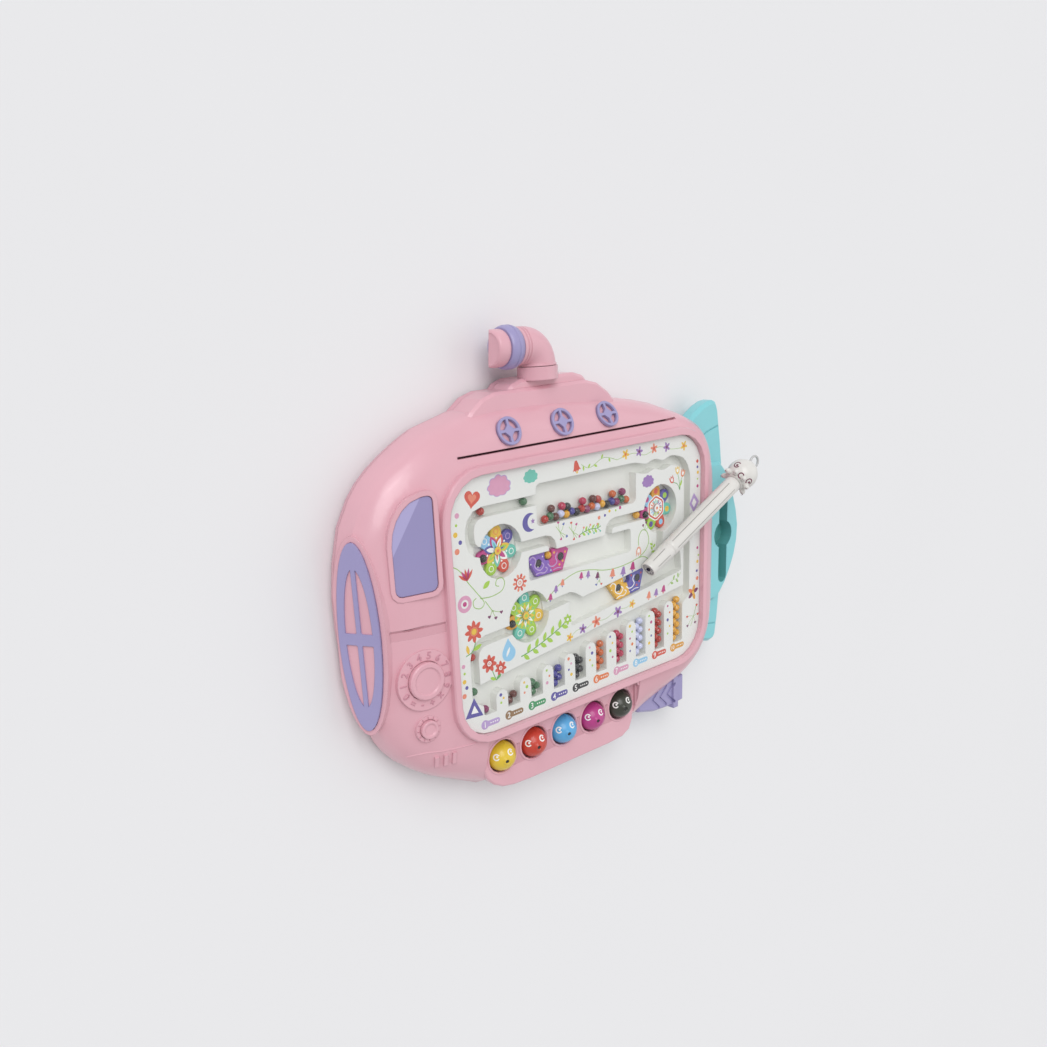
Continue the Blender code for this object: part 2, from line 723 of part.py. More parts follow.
def outer_body(angles, grow=0.0):
    """The whole front form: dome and bezel, closed by a flat top."""
    rings = [body_ring(angles, 0.0, -grow, -grow)] if grow else []
    rings.append(body_ring(angles, 0.0, SEAM_HEIGHT + GAP / 2, -grow))
    rings += [body_ring(angles, s, dome_share_height(s) + grow, -grow) for s in DOME_STEPS]
    rings.append(body_ring(angles, 1.0, BEZEL_TOP - BEZEL_ROUND + grow, BEZEL_ROUND / 4 - grow))
    rings.append(body_ring(angles, 1.0, BEZEL_TOP + grow, BEZEL_ROUND - grow))
    return loft(rings)


def inner_body(angles):
    rings = [body_ring(angles, 0.0, SEAM_HEIGHT - OVERRUN, WALL)]
    for s in (0.05, 0.28, 1.0):
        rings.append(body_ring(angles, s, dome_share_height(s) - WALL, WALL * (1 - s)))
    return loft(rings)


def nose_matrix(inward=0.0):
    """Local X runs up the nose's slope, local Y along the board, local Z out of the nose."""
    spot = place(NOSE_SHARES)
    turn = Matrix.Rotation(-NOSE_SLOPE, 4, "Y")
    return Matrix.Translation((spot.x, spot.y, NOSE_Z)) @ turn @ Matrix.Translation((0, 0, -inward))


def nose_flange():
    outline = ellipse(NOSE_HALF_WIDTH + NOSE_FLANGE_MARGIN, NOSE_HALF_LENGTH + NOSE_FLANGE_MARGIN, 32)
    return moved(prism(outline, -NOSE_FLANGE_DEPTH, 0), nose_matrix())


def nose_outside(start):
    """Everything in front of the nose's plane, as a cutter."""
    side = PANEL_WIDTH * 2
    return moved(box(side, side, start, start + PANEL_WIDTH), nose_matrix())


def nose_window():
    """Oval frame with a cross, seated in a shallow recess of the nose."""
    outer = ellipse(NOSE_HALF_WIDTH - GAP, NOSE_HALF_LENGTH - GAP, 32)
    frame = prism(outer, GAP - NOSE_SEAT_DEPTH, NOSE_PLATE - NOSE_SEAT_DEPTH)
    opening = prism(ellipse(NOSE_OPENING_HALF_WIDTH, NOSE_OPENING_HALF_LENGTH, 24), -OVERRUN, OVERRUN)
    frame = cut(frame, opening)
    low = GAP - NOSE_SEAT_DEPTH
    high = NOSE_PLATE - NOSE_SEAT_DEPTH
    reach = 2 * NOSE_OPENING_HALF_WIDTH + NOSE_SPOKE
    length = 2 * NOSE_OPENING_HALF_LENGTH + NOSE_SPOKE
    long_spoke = box(NOSE_SPOKE, length, low, high)
    cross_spoke = box(reach, NOSE_SPOKE, low, high)
    return moved(united(frame, long_spoke, cross_spoke), nose_matrix())


def window_outline(grow=0.0):
    size = Vector((WINDOW_LENGTH, WINDOW_WIDTH, 0))
    corners = [Vector((sx * size.x, sy * size.y, 0)) for sx, sy in WINDOW_OUTLINE_SHARES]
    outline = rounded(corners, [s * size.x for s in WINDOW_ROUND_SHARES], 3)
    return inset(outline, -grow)


def window_matrix():
    spot = place(WINDOW_SHARES)
    turn = Matrix.Rotation(-WINDOW_TILT, 4, "Y")
    return Matrix.Translation((spot.x, spot.y, dome_height(spot.x, spot.y))) @ turn


def dial_matrix(shares):
    """Local Z is the turning axis of a dial, from the middle of its disc's face."""
    spot = place(shares)
    height = dome_height(spot.x, spot.y) + DIAL_PROUD
    return Matrix.Translation((spot.x, spot.y, height)) @ Matrix.Rotation(-DIAL_TILT, 4, "Y")


def well_centres():
    first = place(FIRST_WELL_SHARES)
    last = place(LAST_WELL_SHARES)
    along = (last - first).normalized()
    middle = (first + last) / 2
    return [middle + along * WELL_PITCH * (i - (FISH_COUNT - 1) / 2) for i in range(FISH_COUNT)]


def periscope_base():
    """The collar's outer face: middle of the turning axis, which runs along Y."""
    spot = place(PERISCOPE_SHARES)
    return Vector((spot.x, spot.y, PERISCOPE_Z))


def along_y(bm, base):
    """Turns a body made about Z so that its axis runs along +Y from a base point."""
    return moved(bm, Matrix.Translation(base) @ Matrix.Rotation(math.radians(-90), 4, "X"))


def leg_places():
    """Pivot x and y, and the direction in which each leg is folded."""
    rows = []
    for spot in places(LEG_SHARES):
        rows.append((spot.x, spot.y, 1 if spot.x < 0 else -1))
    return rows


def screw_places():
    return places(SCREW_SHARES)


def screw_bosses():
    bosses = []
    for spot in screw_places():
        rim = [spot + p for p in circle(BOSS_RADIUS, 12)]
        top = min(dome_height(p.x, p.y) for p in rim) - WALL / 2
        bosses.append(cylinder(BOSS_RADIUS, SEAM_HEIGHT + GAP / 2, top, 12, spot))
    return bosses


def front_shell():
    shell = outer_body(BODY_ANGLES)
    shell = united(shell, nose_flange())
    shell = cut(shell, inner_body(BODY_ANGLES), nose_outside(0.0))
    shell = united(shell, *tower(), *screw_bosses())
    shell = with_shelf(shell)
    shell = with_window_seat(shell)
    shell = with_dials(shell)
    tools = [prism(tray_outline(FLANGE_WIDTH - GAP), TRAY_BOTTOM - OVERRUN, BEZEL_TOP + OVERRUN),
             prism(tray_outline(-GAP), LEDGE_TOP, BEZEL_TOP + OVERRUN)]
    tools += porthole_seats()
    tools.append(card_slot())
    tools.append(prism(nose_seat_outline(), -NOSE_SEAT_DEPTH, OVERRUN))
    moved(tools[-1], nose_matrix())
    tools += screw_pilots()
    tools += shell_grooves()
    side = PANEL_LENGTH * 2
    tools.append(box(side, side, -OVERRUN, SEAM_HEIGHT + GAP / 2))
    tools.append(along_y(cylinder(SPIGOT_RADIUS + GAP, -SPIGOT_LENGTH - GAP, OVERRUN), periscope_base()))
    return cut(shell, *tools)


def nose_seat_outline():
    return ellipse(NOSE_HALF_WIDTH, NOSE_HALF_LENGTH, 32)


def with_shelf(shell):
    """A hollow shelf that stands proud of the hull, with five round wells."""
    outline = places(SHELF_SHARES)
    low = SEAM_HEIGHT + GAP / 2
    shell = cut(shell, prism(outline, SHELF_HEIGHT, BEZEL_TOP + OVERRUN))
    shell = united(shell, chamfered_prism(outline, low, SHELF_HEIGHT, SHELF_EDGE))
    shell = cut(shell, prism(inset(outline, WALL), -OVERRUN, SHELF_HEIGHT - WALL))
    inside = loft([body_ring(BODY_ANGLES, 0.0, z, WALL) for z in (-OVERRUN, low + 2 * WALL)])
    shell = united(shell, cut(prism(outline, low, low + WALL), inside))
    for centre in well_centres():
        low = WELL_FLOOR - WELL_WALL
        cup = cylinder(WELL_RADIUS + WELL_WALL, low, SHELF_HEIGHT - WALL / 2, 16, centre)
        shell = united(shell, cup)
    for centre in well_centres():
        shell = cut(shell, cylinder(WELL_RADIUS, WELL_FLOOR, BEZEL_TOP, 16, centre))
    return shell


def with_window_seat(shell):
    low = WINDOW_PROUD - WINDOW_RECESS - WINDOW_PANE
    frame = moved(prism(window_outline(WINDOW_FRAME), -WALL, WINDOW_PROUD), window_matrix())
    seat = moved(prism(window_outline(), low, OVERRUN), window_matrix())
    return cut(united(shell, frame), seat)


def with_dials(shell):
    discs = ((DIAL_SHARES, DIAL_DISC_RADIUS, DIAL_KNOB_RADIUS),
             (SMALL_DIAL_SHARES, SMALL_DISC_RADIUS, SMALL_KNOB_RADIUS))
    for shares, disc, knob in discs:
        raised = cylinder(disc, -WALL - DIAL_SEAT_DEPTH, 0, 32)
        shell = united(shell, moved(raised, dial_matrix(shares)))
        seat = cylinder(knob + GAP, -DIAL_SEAT_DEPTH, OVERRUN, 32)
        shell = cut(shell, moved(seat, dial_matrix(shares)))
    return united(shell, *ribs())


def ribs():
    """Short raised bars beside the small dial."""
    dial = place(SMALL_DIAL_SHARES)
    made = []
    for i in range(RIB_COUNT):
        x = dial.x + DIAL_KNOB_RADIUS + RIB_PITCH * (i - 1)
        y = dial.y - 3 * RIB_LENGTH
        rib = box(RIB_WIDTH, RIB_LENGTH, -WALL / 2, RIB_PROUD)
        made.append(moved(rib, dome_frame(x, y, RIB_PITCH)))
    return made


def tower():
    """Two stepped decks on the upper edge, and the collar of the periscope."""
    decks = []
    for table, height in ((TOWER_SHARES, TOWER_HEIGHT), (TOWER_STEP_SHARES, TOWER_STEP_HEIGHT)):
        outline = rounded(places(table), [TOWER_ROUND] * len(table), 3)
        decks.append(chamfered_prism(outline, SEAM_HEIGHT + GAP / 2, height, TOWER_CHAMFER))
    collar = along_y(cylinder(COLLAR_RADIUS, -COLLAR_DEPTH, 0), periscope_base())
    return decks + [collar]


def porthole_matrices():
    return [dome_frame(spot.x, spot.y, PORTHOLE_RADIUS / 2) for spot in places(PORTHOLE_SHARES)]


def porthole_seats():
    seat = PORTHOLE_RADIUS + GAP
    return [moved(cylinder(seat, -PORTHOLE_SEAT_DEPTH, OVERRUN), m) for m in porthole_matrices()]


def porthole(matrix):
    """A ring frame with four spokes and a square hub."""
    low = GAP - PORTHOLE_SEAT_DEPTH
    high = low + PORTHOLE_THICKNESS
    ring = cut(cylinder(PORTHOLE_RADIUS, low, high, 16),
               cylinder(PORTHOLE_RADIUS - PORTHOLE_RIM, -OVERRUN, OVERRUN, 16))
    reach = 2 * PORTHOLE_RADIUS - PORTHOLE_RIM
    ring = united(ring, box(reach, PORTHOLE_SPOKE, low, high), box(PORTHOLE_SPOKE, reach, low, high),
                  box(PORTHOLE_HUB, PORTHOLE_HUB, low, high))
    return moved(ring, matrix)


def card_slot():
    spot = place(SLOT_SHARES)
    return box(SLOT_LENGTH, SLOT_WIDTH, DOME_TOP - SLOT_DEPTH, BEZEL_TOP + OVERRUN, spot)


def shell_grooves():
    """Thin seams of the left flank: one across it and one beside the bezel."""
    seam_x = -RIGHT_HALF - BEZEL_WIDTH
    flank = place(NOSE_SHARES).x + NOSE_HALF_WIDTH
    across = box(seam_x - flank, GROOVE_WIDTH, -GROOVE_DEPTH, OVERRUN)
    middle = (seam_x + flank) / 2
    matrix = dome_frame(middle, 0.0, DIAL_DISC_RADIUS)
    return [moved(across, matrix)]


def screw_pilots():
    tools = []
    for spot in screw_places():
        top = REAR_HEIGHT + SCREW_HEAD_HEIGHT + SCREW_LENGTH + WALL
        tools.append(cylinder(SCREW_RADIUS + GAP, -OVERRUN, top, 10, spot))
    return tools


def rear_shell():
    angles = BODY_ANGLES
    top = SEAM_HEIGHT - GAP / 2
    outer = loft([
        body_ring(angles, 0.0, REAR_HEIGHT, REAR_CHAMFER),
        body_ring(angles, 0.0, REAR_HEIGHT + REAR_LIP, REAR_LIP),
        body_ring(angles, 0.0, top, 0.0),
    ])
    floor = REAR_HEIGHT + WALL
    inner = loft([body_ring(angles, 0.0, z, WALL + REAR_LIP) for z in (floor, top + OVERRUN)])
    shell = cut(outer, inner)
    tower_feet = []
    for table in (TOWER_SHARES, TOWER_STEP_SHARES):
        outline = rounded(places(table), [TOWER_ROUND] * len(table), 3)
        tower_feet.append(prism(outline, REAR_HEIGHT + REAR_LIP, top))
    pockets = [leg_pocket(x, y, side, POCKET_WALL) for x, y, side in leg_places()]
    posts = [cylinder(BOSS_RADIUS, REAR_HEIGHT + WALL / 2, top, 12, spot) for spot in screw_places()]
    feet = [cylinder(FOOT_RADIUS, 0.0, REAR_HEIGHT + WALL / 2, 16, spot) for spot in places(FOOT_SHARES)]
    shell = united(shell, *tower_feet, *pockets, *posts, *feet)
    tools = [leg_pocket(x, y, side, 0.0) for x, y, side in leg_places()]
    for x, y, side in leg_places():
        tools.append(pin_body(Vector((x, y, PIN_HEIGHT)), PIN_RADIUS + GAP, PIN_GRIP + GAP))
    tools.append(prism(board_outline(BOARD_FRAME + GAP), -OVERRUN, floor + OVERRUN))
    for spot in screw_places():
        sink = REAR_HEIGHT + SCREW_SINK + SCREW_HEAD_HEIGHT + GAP
        tools.append(cylinder(SCREW_HEAD_RADIUS + GAP, -OVERRUN, sink, 12, spot))
        tools.append(cylinder(SCREW_RADIUS + GAP, -OVERRUN, top + OVERRUN, 10, spot))
    tools.append(nose_outside(0.0))
    return cut(shell, *tools)


def leg_pocket(x, y, side, wall):
    """The space that a folded leg turns in, or with a wall the box around it."""
    end = LEG_DEPTH / 2 + LEG_CLEARANCE
    length = LEG_LENGTH + 2 * LEG_CLEARANCE + 2 * wall
    centre = Vector((x + side * (length / 2 - end - wall), y, 0))
    width = LEG_FOOT_WIDTH + 2 * LEG_CLEARANCE + 2 * wall
    low = REAR_HEIGHT if wall else -OVERRUN
    return box(length, width, low, POCKET_TOP + wall, centre)


def pin_body(centre, radius, grip):
    """The leg's moulded pivot, which reaches into both cheeks of its pocket."""
    length = LEG_FOOT_WIDTH / 2 + LEG_CLEARANCE + grip
    return along_y(cylinder(radius, -length, length, 12), centre)


def board_width():
    """The drawing board fills the space between the upper and the lower leg pockets."""
    pocket = LEG_FOOT_WIDTH / 2 + LEG_CLEARANCE + POCKET_WALL
    half = place(LEG_SHARES[0]).y - pocket - BOARD_FRAME - BOARD_MARGIN
    return 2 * half


def board_outline(grow):
    radius = BOARD_CORNER + grow
    return rounded_rectangle(BOARD_LENGTH + 2 * grow, board_width() + 2 * grow, radius, 4)


def leg(side):
    """A channel-shaped leg, folded flat in its pocket, round about its pin."""
    half = LEG_DEPTH / 2
    far = LEG_LENGTH - half
    arc = [Vector((-half * math.sin(t), -half * math.cos(t), 0)) for t in (math.pi * i / 8 for i in range(9))]
    profile = arc + [Vector((far, half, 0)), Vector((far, -half, 0))]
    body = prism(profile, -LEG_WIDTH / 2, LEG_WIDTH / 2)
    body = moved(body, Matrix.Rotation(math.radians(90), 4, "X"))
    foot = box(LEG_FOOT_LENGTH, LEG_FOOT_WIDTH, -half, half, Vector((far - LEG_FOOT_LENGTH / 2, 0, 0)))
    body = united(body, foot)
    length = far - LEG_FOOT_LENGTH - half
    middle = Vector((half + length / 2, 0, 0))
    hollow = box(length, LEG_WIDTH - 2 * LEG_WALL, LEG_WALL - half, half + OVERRUN, middle)
    panel = box(LEG_PANEL_LENGTH, LEG_PANEL_WIDTH, -half - OVERRUN, LEG_PANEL_DEPTH - half,
                Vector((far / 2, 0, 0)))
    body = united(cut(body, hollow, panel), pin_body(Vector((0, 0, 0)), PIN_RADIUS, PIN_GRIP))
    if side < 0:
        body = moved(body, Matrix.Rotation(math.pi, 4, "Z"))
    return body


def tray_outline(inward):
    return rounded_rectangle(PANEL_LENGTH - 2 * inward, PANEL_WIDTH - 2 * inward, PANEL_CORNER - inward)


def channel_tools():
    """Cutters of the bead channels, all down to one floor."""
    lines = [F_CHANNEL_SHARES, WAVY_CHANNEL_SHARES, WHEEL_1_RIGHT_SHARES, L_CHANNEL_SHARES,
             WHEEL_3_LOWER_SHARES, WHEEL_2_RIGHT_SHARES, WHEEL_2_LEFT_SHARES]
    outlines = [ribbon(places(line), CHANNEL_WIDTH) for line in lines]
    for line in (CARRIER_1_SHARES, CARRIER_2_SHARES):
        outlines.append(strip(*places(line), CARRIER_CHANNEL_WIDTH, CARRIER_CHANNEL_WIDTH / 8))
    basin = places(BASIN_SHARES)
    outlines.append(rounded(basin, [CHANNEL_WIDTH / 2] * len(basin)))
    return [counting_slots()] + [prism(outline, CHANNEL_FLOOR, TRAY_TOP + OVERRUN) for outline in outlines]


def slot_pitch():
    return (place(LAST_SLOT_SHARES) - place(FIRST_SLOT_SHARES)).x / (SLOT_COUNT - 1)


def slot_foot(index):
    """Middle of a counting slot's lower end."""
    return place(FIRST_SLOT_SHARES) + Vector((slot_pitch() * index, 0, 0))


def divider_tops():
    """Middle and top of each divider between two slots."""
    low = FIRST_DIVIDER_SHARE * TOP_HALF
    rise = (LAST_DIVIDER_SHARE * TOP_HALF - low) / (SLOT_COUNT - 2)
    middles = [slot_foot(i).x + slot_pitch() / 2 for i in range(SLOT_COUNT - 1)]
    return [Vector((x, low + rise * i, 0)) for i, x in enumerate(middles)]


def counting_slots():
    """Slots of growing height below the gallery, with round-topped dividers between them."""
    half = Vector((COUNT_WIDTH / 2, 0, 0))
    left = slot_foot(0) - half
    right = slot_foot(SLOT_COUNT - 1) + half
    right_top = Vector((right.x, LAST_SLOT_TOP_SHARE * TOP_HALF, 0))
    left_top = Vector((left.x, FIRST_SLOT_TOP_SHARE * TOP_HALF, 0))
    outline = [left, right, right_top, *places(GALLERY_SHARES), left_top]
    cutter = prism(rounded(outline, [CHANNEL_WIDTH / 4] * len(outline), 3), CHANNEL_FLOOR, TRAY_TOP + OVERRUN)
    thickness = slot_pitch() - COUNT_WIDTH
    dividers = []
    for top in divider_tops():
        low = Vector((top.x, left.y - thickness, 0))
        bar = ribbon([low, top - Vector((0, thickness / 2, 0))], thickness, 6)
        dividers.append(prism(bar, CHANNEL_FLOOR - OVERRUN, TRAY_TOP + 2 * OVERRUN))
    return cut(cutter, *dividers)


def maze_tray():
    tray = prism(tray_outline(0.0), TRAY_TOP - FLANGE_THICKNESS, TRAY_TOP)
    body = prism(tray_outline(FLANGE_WIDTH), TRAY_BOTTOM, TRAY_TOP - FLANGE_THICKNESS / 2)
    axle_low = WHEEL_FLOOR - AXLE_DEPTH - WALL
    axle_high = TRAY_BOTTOM + PRESS_OUT
    bosses = [cylinder(AXLE_BOSS_RADIUS, axle_low, axle_high, 12, p) for p in places(WHEEL_SHARES)]
    tray = united(tray, body, *bosses)
    tools = channel_tools()
    for centre in places(WHEEL_SHARES):
        tools.append(cylinder(RECESS_RADIUS, WHEEL_FLOOR, TRAY_TOP + OVERRUN, 24, centre))
        tools.append(cylinder(AXLE_RADIUS + GAP, WHEEL_FLOOR - AXLE_DEPTH - GAP, TRAY_TOP, 10, centre))
    return cut(tray, *tools)


def clear_cover():
    return prism(tray_outline(GAP), PANEL_TOP - COVER_THICKNESS, PANEL_TOP)


def wheel_axle(spot):
    low = WHEEL_FLOOR - AXLE_DEPTH
    top = WHEEL_FLOOR + GAP + WHEEL_THICKNESS + GAP
    profile = [(AXLE_RADIUS, low), (AXLE_RADIUS, top),
               (AXLE_HEAD_RADIUS, top), (AXLE_HEAD_RADIUS, top + AXLE_HEAD_HEIGHT)]
    return shifted(turned(profile, 10), spot)


def petal_reach(angle):
    """Radius of the flower's outline: seven round-ended petals from the middle."""
    pitch = math.tau / PETALS
    lean = (angle - FIRST_PETAL_ANGLE + pitch / 2) % pitch - pitch / 2
    side = PETAL_RING * math.sin(abs(lean))
    if side >= PETAL_RADIUS or PETAL_RADIUS / math.tan(max(abs(lean), 1e-6)) < PETAL_RING:
        return PETAL_RADIUS / math.sin(abs(lean))
    return PETAL_RING * math.cos(lean) + math.sqrt(PETAL_RADIUS ** 2 - side ** 2)


def flower_wheel():
    """A seven-petal wheel on a thin base, with an open cup in each petal."""
    steps = 8 * PETALS
    turns = [FIRST_PETAL_ANGLE + math.tau * i / steps for i in range(steps)]
    outline = [Vector((math.cos(t), math.sin(t), 0)) * petal_reach(t) for t in turns]
    low = WHEEL_FLOOR + GAP
    wheel = prism(outline, low, low + WHEEL_THICKNESS)
    tools = [cylinder(AXLE_RADIUS + GAP, low - OVERRUN, low + OVERRUN, 10)]
    for i in range(PETALS):
        turn = FIRST_PETAL_ANGLE + math.tau * i / PETALS
        out = Vector((math.cos(turn), math.sin(turn), 0))
        cup = ribbon([out * PETAL_RING, out * (WHEEL_RADIUS + OVERRUN)], 2 * CUP_RADIUS, 4)
        tools.append(prism(cup, low + WHEEL_BASE, low + WHEEL_THICKNESS + OVERRUN))
    return cut(wheel, *tools)


def bead(centre):
    """A faceted ball whose six sides lie outside the true ball."""
    sides = 6
    bm = bmesh.new()
    bmesh.ops.create_uvsphere(bm, u_segments=sides, v_segments=4, radius=BEAD_RADIUS)
    wider = 1 / math.cos(math.pi / sides)
    shape = Matrix.Diagonal((wider, wider, 1, 1)) @ Matrix.Rotation(math.pi / sides, 4, "Z")
    return shifted(moved(bm, shape), centre)


def bead_group(centres):
    """Beads that lie against each other, joined where they touch."""
    beads = [bead(centre) for centre in centres]
    return united(*beads)


def slot_bead_places(index):
    """Beads stacked in two staggered rows, one bead more in each slot."""
    foot = slot_foot(index)
    made = []
    for i in range(index + 1):
        side = BEAD_STAGGER / 2 * (-1 if i % 2 == 0 else 1)
        made.append(foot + Vector((side, GAP + BEAD_RADIUS + BEAD_RISE * i, BEAD_Z)))
    return made


def basin_bead_places():
    """A wavy lower row along the basin's floor, with some beads on top of it."""
    corner = place(BASIN_SHARES[0])
    left = corner.x + CHANNEL_WIDTH + BEAD_RADIUS
    right = place(BASIN_SHARES[1]).x - CHANNEL_WIDTH / 2 - BEAD_RADIUS
    low = corner.y + GAP + BEAD_RADIUS
    count = int((right - left) / BASIN_PITCH) + 1
    made = []
    for i in range(count):
        made.append(Vector((left + BASIN_PITCH * i, low + BASIN_WAVE * (i % 2), BEAD_Z)))
    for i in [i for i in UPPER_ROW_PLACES if i < count]:
        made.append(made[i] + Vector((BASIN_PITCH / 4, BEAD_DIAMETER - BEAD_NECK, 0)))
    return made


def carrier_matrix(index):
    """A carrier's middle, at its share of the way from one end of its channel to the other."""
    start, end = places((CARRIER_1_SHARES, CARRIER_2_SHARES)[index])
    along = (end - start).normalized()
    low = (CARRIER_LENGTH - CARRIER_CHANNEL_WIDTH) / 2 + CARRIER_CLEARANCE
    travel = (end - start).length - 2 * low
    spot = start + along * (low + travel * CARRIER_TRAVEL_SHARES[index])
    return Matrix.Translation(spot) @ Matrix.Rotation(math.atan2(along.y, along.x), 4, "Z")


def carrier(index):
    low = CHANNEL_FLOOR + GAP
    outline = [Vector((x * CARRIER_LENGTH, y * CARRIER_WIDTH, 0)) for x, y in CARRIER_OUTLINE_SHARES]
    sled = chamfered_prism(outline, low, low + CARRIER_THICKNESS, GAP)
    tools = []
    for x, y in CARRIER_MAGNET_SHARES:
        spot = Vector((x * CARRIER_LENGTH, y * CARRIER_WIDTH, 0))
        depth = low + CARRIER_THICKNESS - MAGNET_THICKNESS - GAP
        tools.append(cylinder(MAGNET_RADIUS + GAP, depth, PANEL_TOP, 12, spot))
    return moved(cut(sled, *tools), carrier_matrix(index))


def carrier_magnet(index, shares):
    top = CHANNEL_FLOOR + GAP + CARRIER_THICKNESS
    spot = Vector((shares[0] * CARRIER_LENGTH, shares[1] * CARRIER_WIDTH, 0))
    return moved(cylinder(MAGNET_RADIUS, top - MAGNET_THICKNESS, top, 12, spot), carrier_matrix(index))


def knob(radius, height, dish):
    low = GAP - DIAL_SEAT_DEPTH
    edge = radius * KNOB_EDGE_SHARE
    profile = [(radius, low), (radius, low + height - edge), (radius - edge, low + height),
               (dish, low + height), (dish - DIAL_DISH_DEPTH, low + height - DIAL_DISH_DEPTH)]
    return turned(profile, 20)


def periscope_elbow():
    """A bent pipe that turns on its spigot; the neck carries the ring and the cap."""
    base = Vector((0, GAP, 0))
    count = 12
    bends = 5
    stations = [(Vector((0, 0, 0)), 0.0)]
    centre = Vector((-PIPE_BEND, GAP, 0))
    for i in range(bends + 1):
        turn = math.pi / 2 * i / bends
        point = centre + Vector((math.cos(turn), math.sin(turn), 0)) * PIPE_BEND
        stations.append((point, turn))
    end = stations[-1][0]
    stations.append((end + Vector((-PIPE_STRAIGHT, 0, 0)), math.pi / 2))
    rings = []
    for point, turn in stations:
        ring = []
        for spoke in circle(PIPE_RADIUS, count):
            across = Matrix.Rotation(turn, 3, "Z") @ Vector((spoke.x, 0, 0))
            ring.append(point + across + Vector((0, 0, spoke.y)))
        rings.append(ring)
    pipe = shifted(loft(rings), base)
    spigot = along_y(cylinder(SPIGOT_RADIUS, -SPIGOT_LENGTH, PIPE_RADIUS, 16), base)
    start = base + end + Vector((-PIPE_STRAIGHT, 0, 0))
    neck = along_minus_x(cylinder(NECK_RADIUS, -PIPE_STRAIGHT / 2, NECK_LENGTH, 16), start)
    groove = along_minus_x(pipe_groove(), start + Vector((PIPE_STRAIGHT / 2, 0, 0)))
    return cut(united(pipe, spigot, neck), groove)


def pipe_groove():
    ring = cylinder(PIPE_RADIUS + OVERRUN, 0, PIPE_GROOVE, 16)
    return cut(ring, cylinder(PIPE_RADIUS - GROOVE_DEPTH, -OVERRUN, OVERRUN, 16))


def along_minus_x(bm, base):
    return moved(bm, Matrix.Translation(base) @ Matrix.Rotation(math.radians(-90), 4, "Y"))


def periscope_end():
    """Where the pipe's straight end meets the ring."""
    return Vector((-PIPE_BEND - PIPE_STRAIGHT, PIPE_BEND + 2 * GAP, 0))


def periscope_ring():
    edge = RING_WIDTH / 6
    low = GAP
    high = GAP + RING_WIDTH
    profile = [(RING_RADIUS - edge, low), (RING_RADIUS, low + edge), (RING_RADIUS, high - edge),
               (RING_RADIUS - edge, high)]
    ring = cut(turned(profile, 20), cylinder(NECK_RADIUS + GAP, -OVERRUN, high + OVERRUN, 16))
    return along_minus_x(ring, periscope_end())


def periscope_cap():
    low = RING_WIDTH + 2 * GAP
    edge = CAP_LENGTH / 5
    profile = [(CAP_RADIUS - edge / 2, low), (CAP_RADIUS, low + edge), (CAP_RADIUS, low + CAP_LENGTH - edge),
               (CAP_RADIUS - edge, low + CAP_LENGTH)]
    cap = cut(turned(profile, 20), cylinder(NECK_RADIUS + GAP, -OVERRUN, NECK_LENGTH + GAP, 16))
    return along_minus_x(cap, periscope_end())


def fish(centre):
    """An egg-shaped fish with a round mouth on top, a back fin and two side fins."""
    middle = WELL_FLOOR + GAP + FISH_HEIGHT / 2
    half = FISH_HEIGHT / 2
    profile = [(FISH_FOOT_RADIUS, middle - half)]
    for i in range(1, 8):
        turn = math.pi * (i / 8 - 1 / 2)
        profile.append((FISH_RADIUS * math.cos(turn), middle + half * math.sin(turn)))
    profile.append((0, middle + half))
    profile = [profile[0]] + [p for p in profile[1:] if p[0] > FISH_FOOT_RADIUS or p[1] > middle]
    body = turned(profile, 12)
    back = [Vector((FISH_RADIUS * x, middle + half * z, 0)) for x, z in FIN_SHARES]
    fin = moved(prism(back, -FISH_FIN / 2, FISH_FIN / 2), Matrix.Rotation(math.radians(90), 4, "X"))
    fin = moved(fin, Matrix.Rotation(FIN_TURN, 4, "Z"))
    mouth = cylinder(MOUTH_RADIUS, -MOUTH_DEPTH, OVERRUN, 8)
    mouth = moved(mouth, Matrix.Translation((0, 0, middle)) @ mouth_turn() @ Matrix.Translation((0, 0, half)))
    return shifted(cut(united(body, fin), mouth), centre)


def mouth_turn():
    """The mouth leans a little from the top towards the nose of the board."""
    return Matrix.Rotation(MOUTH_LEAN, 4, Vector(MOUTH_AXIS_SHARES))


def body_cutter():
    """The body's outside, grown by the fit, for what is fixed against it."""
    return outer_body(BODY_ANGLES, GAP)


def tail_fin():
    lobes = chamfered_prism(places(TAIL_LOBE_SHARES), TAIL_LOBE_BOTTOM, TAIL_LOBE_TOP, TAIL_CHAMFER)
    pod = chamfered_prism(places(TAIL_POD_SHARES), TAIL_BOTTOM, TAIL_POD_TOP, TAIL_CHAMFER)
    groove_spot = place(PEN_GROOVE_SHARES)
    half = (PEN_GROOVE_LENGTH - PEN_GROOVE_WIDTH) / 2
    ends = [groove_spot + Vector((0, half, 0)), groove_spot - Vector((0, half, 0))]
    groove = prism(ribbon(ends, PEN_GROOVE_WIDTH, 6), TAIL_POD_TOP - PEN_GROOVE_DEPTH, TAIL_POD_TOP + OVERRUN)
    scoop = cylinder(SCOOP_RADIUS, TAIL_POD_TOP - SCOOP_DEPTH, TAIL_POD_TOP + OVERRUN, 20, groove_spot)
    lines = []
    for table in (TAIL_LINE_SHARES, TAIL_LOWER_LINE_SHARES):
        outline = ribbon(places(table), GROOVE_WIDTH, 2)
        lines.append(prism(outline, TAIL_LOBE_TOP - GROOVE_DEPTH, TAIL_LOBE_TOP + OVERRUN))
    return cut(united(lobes, pod), body_cutter(), groove, scoop, *lines)


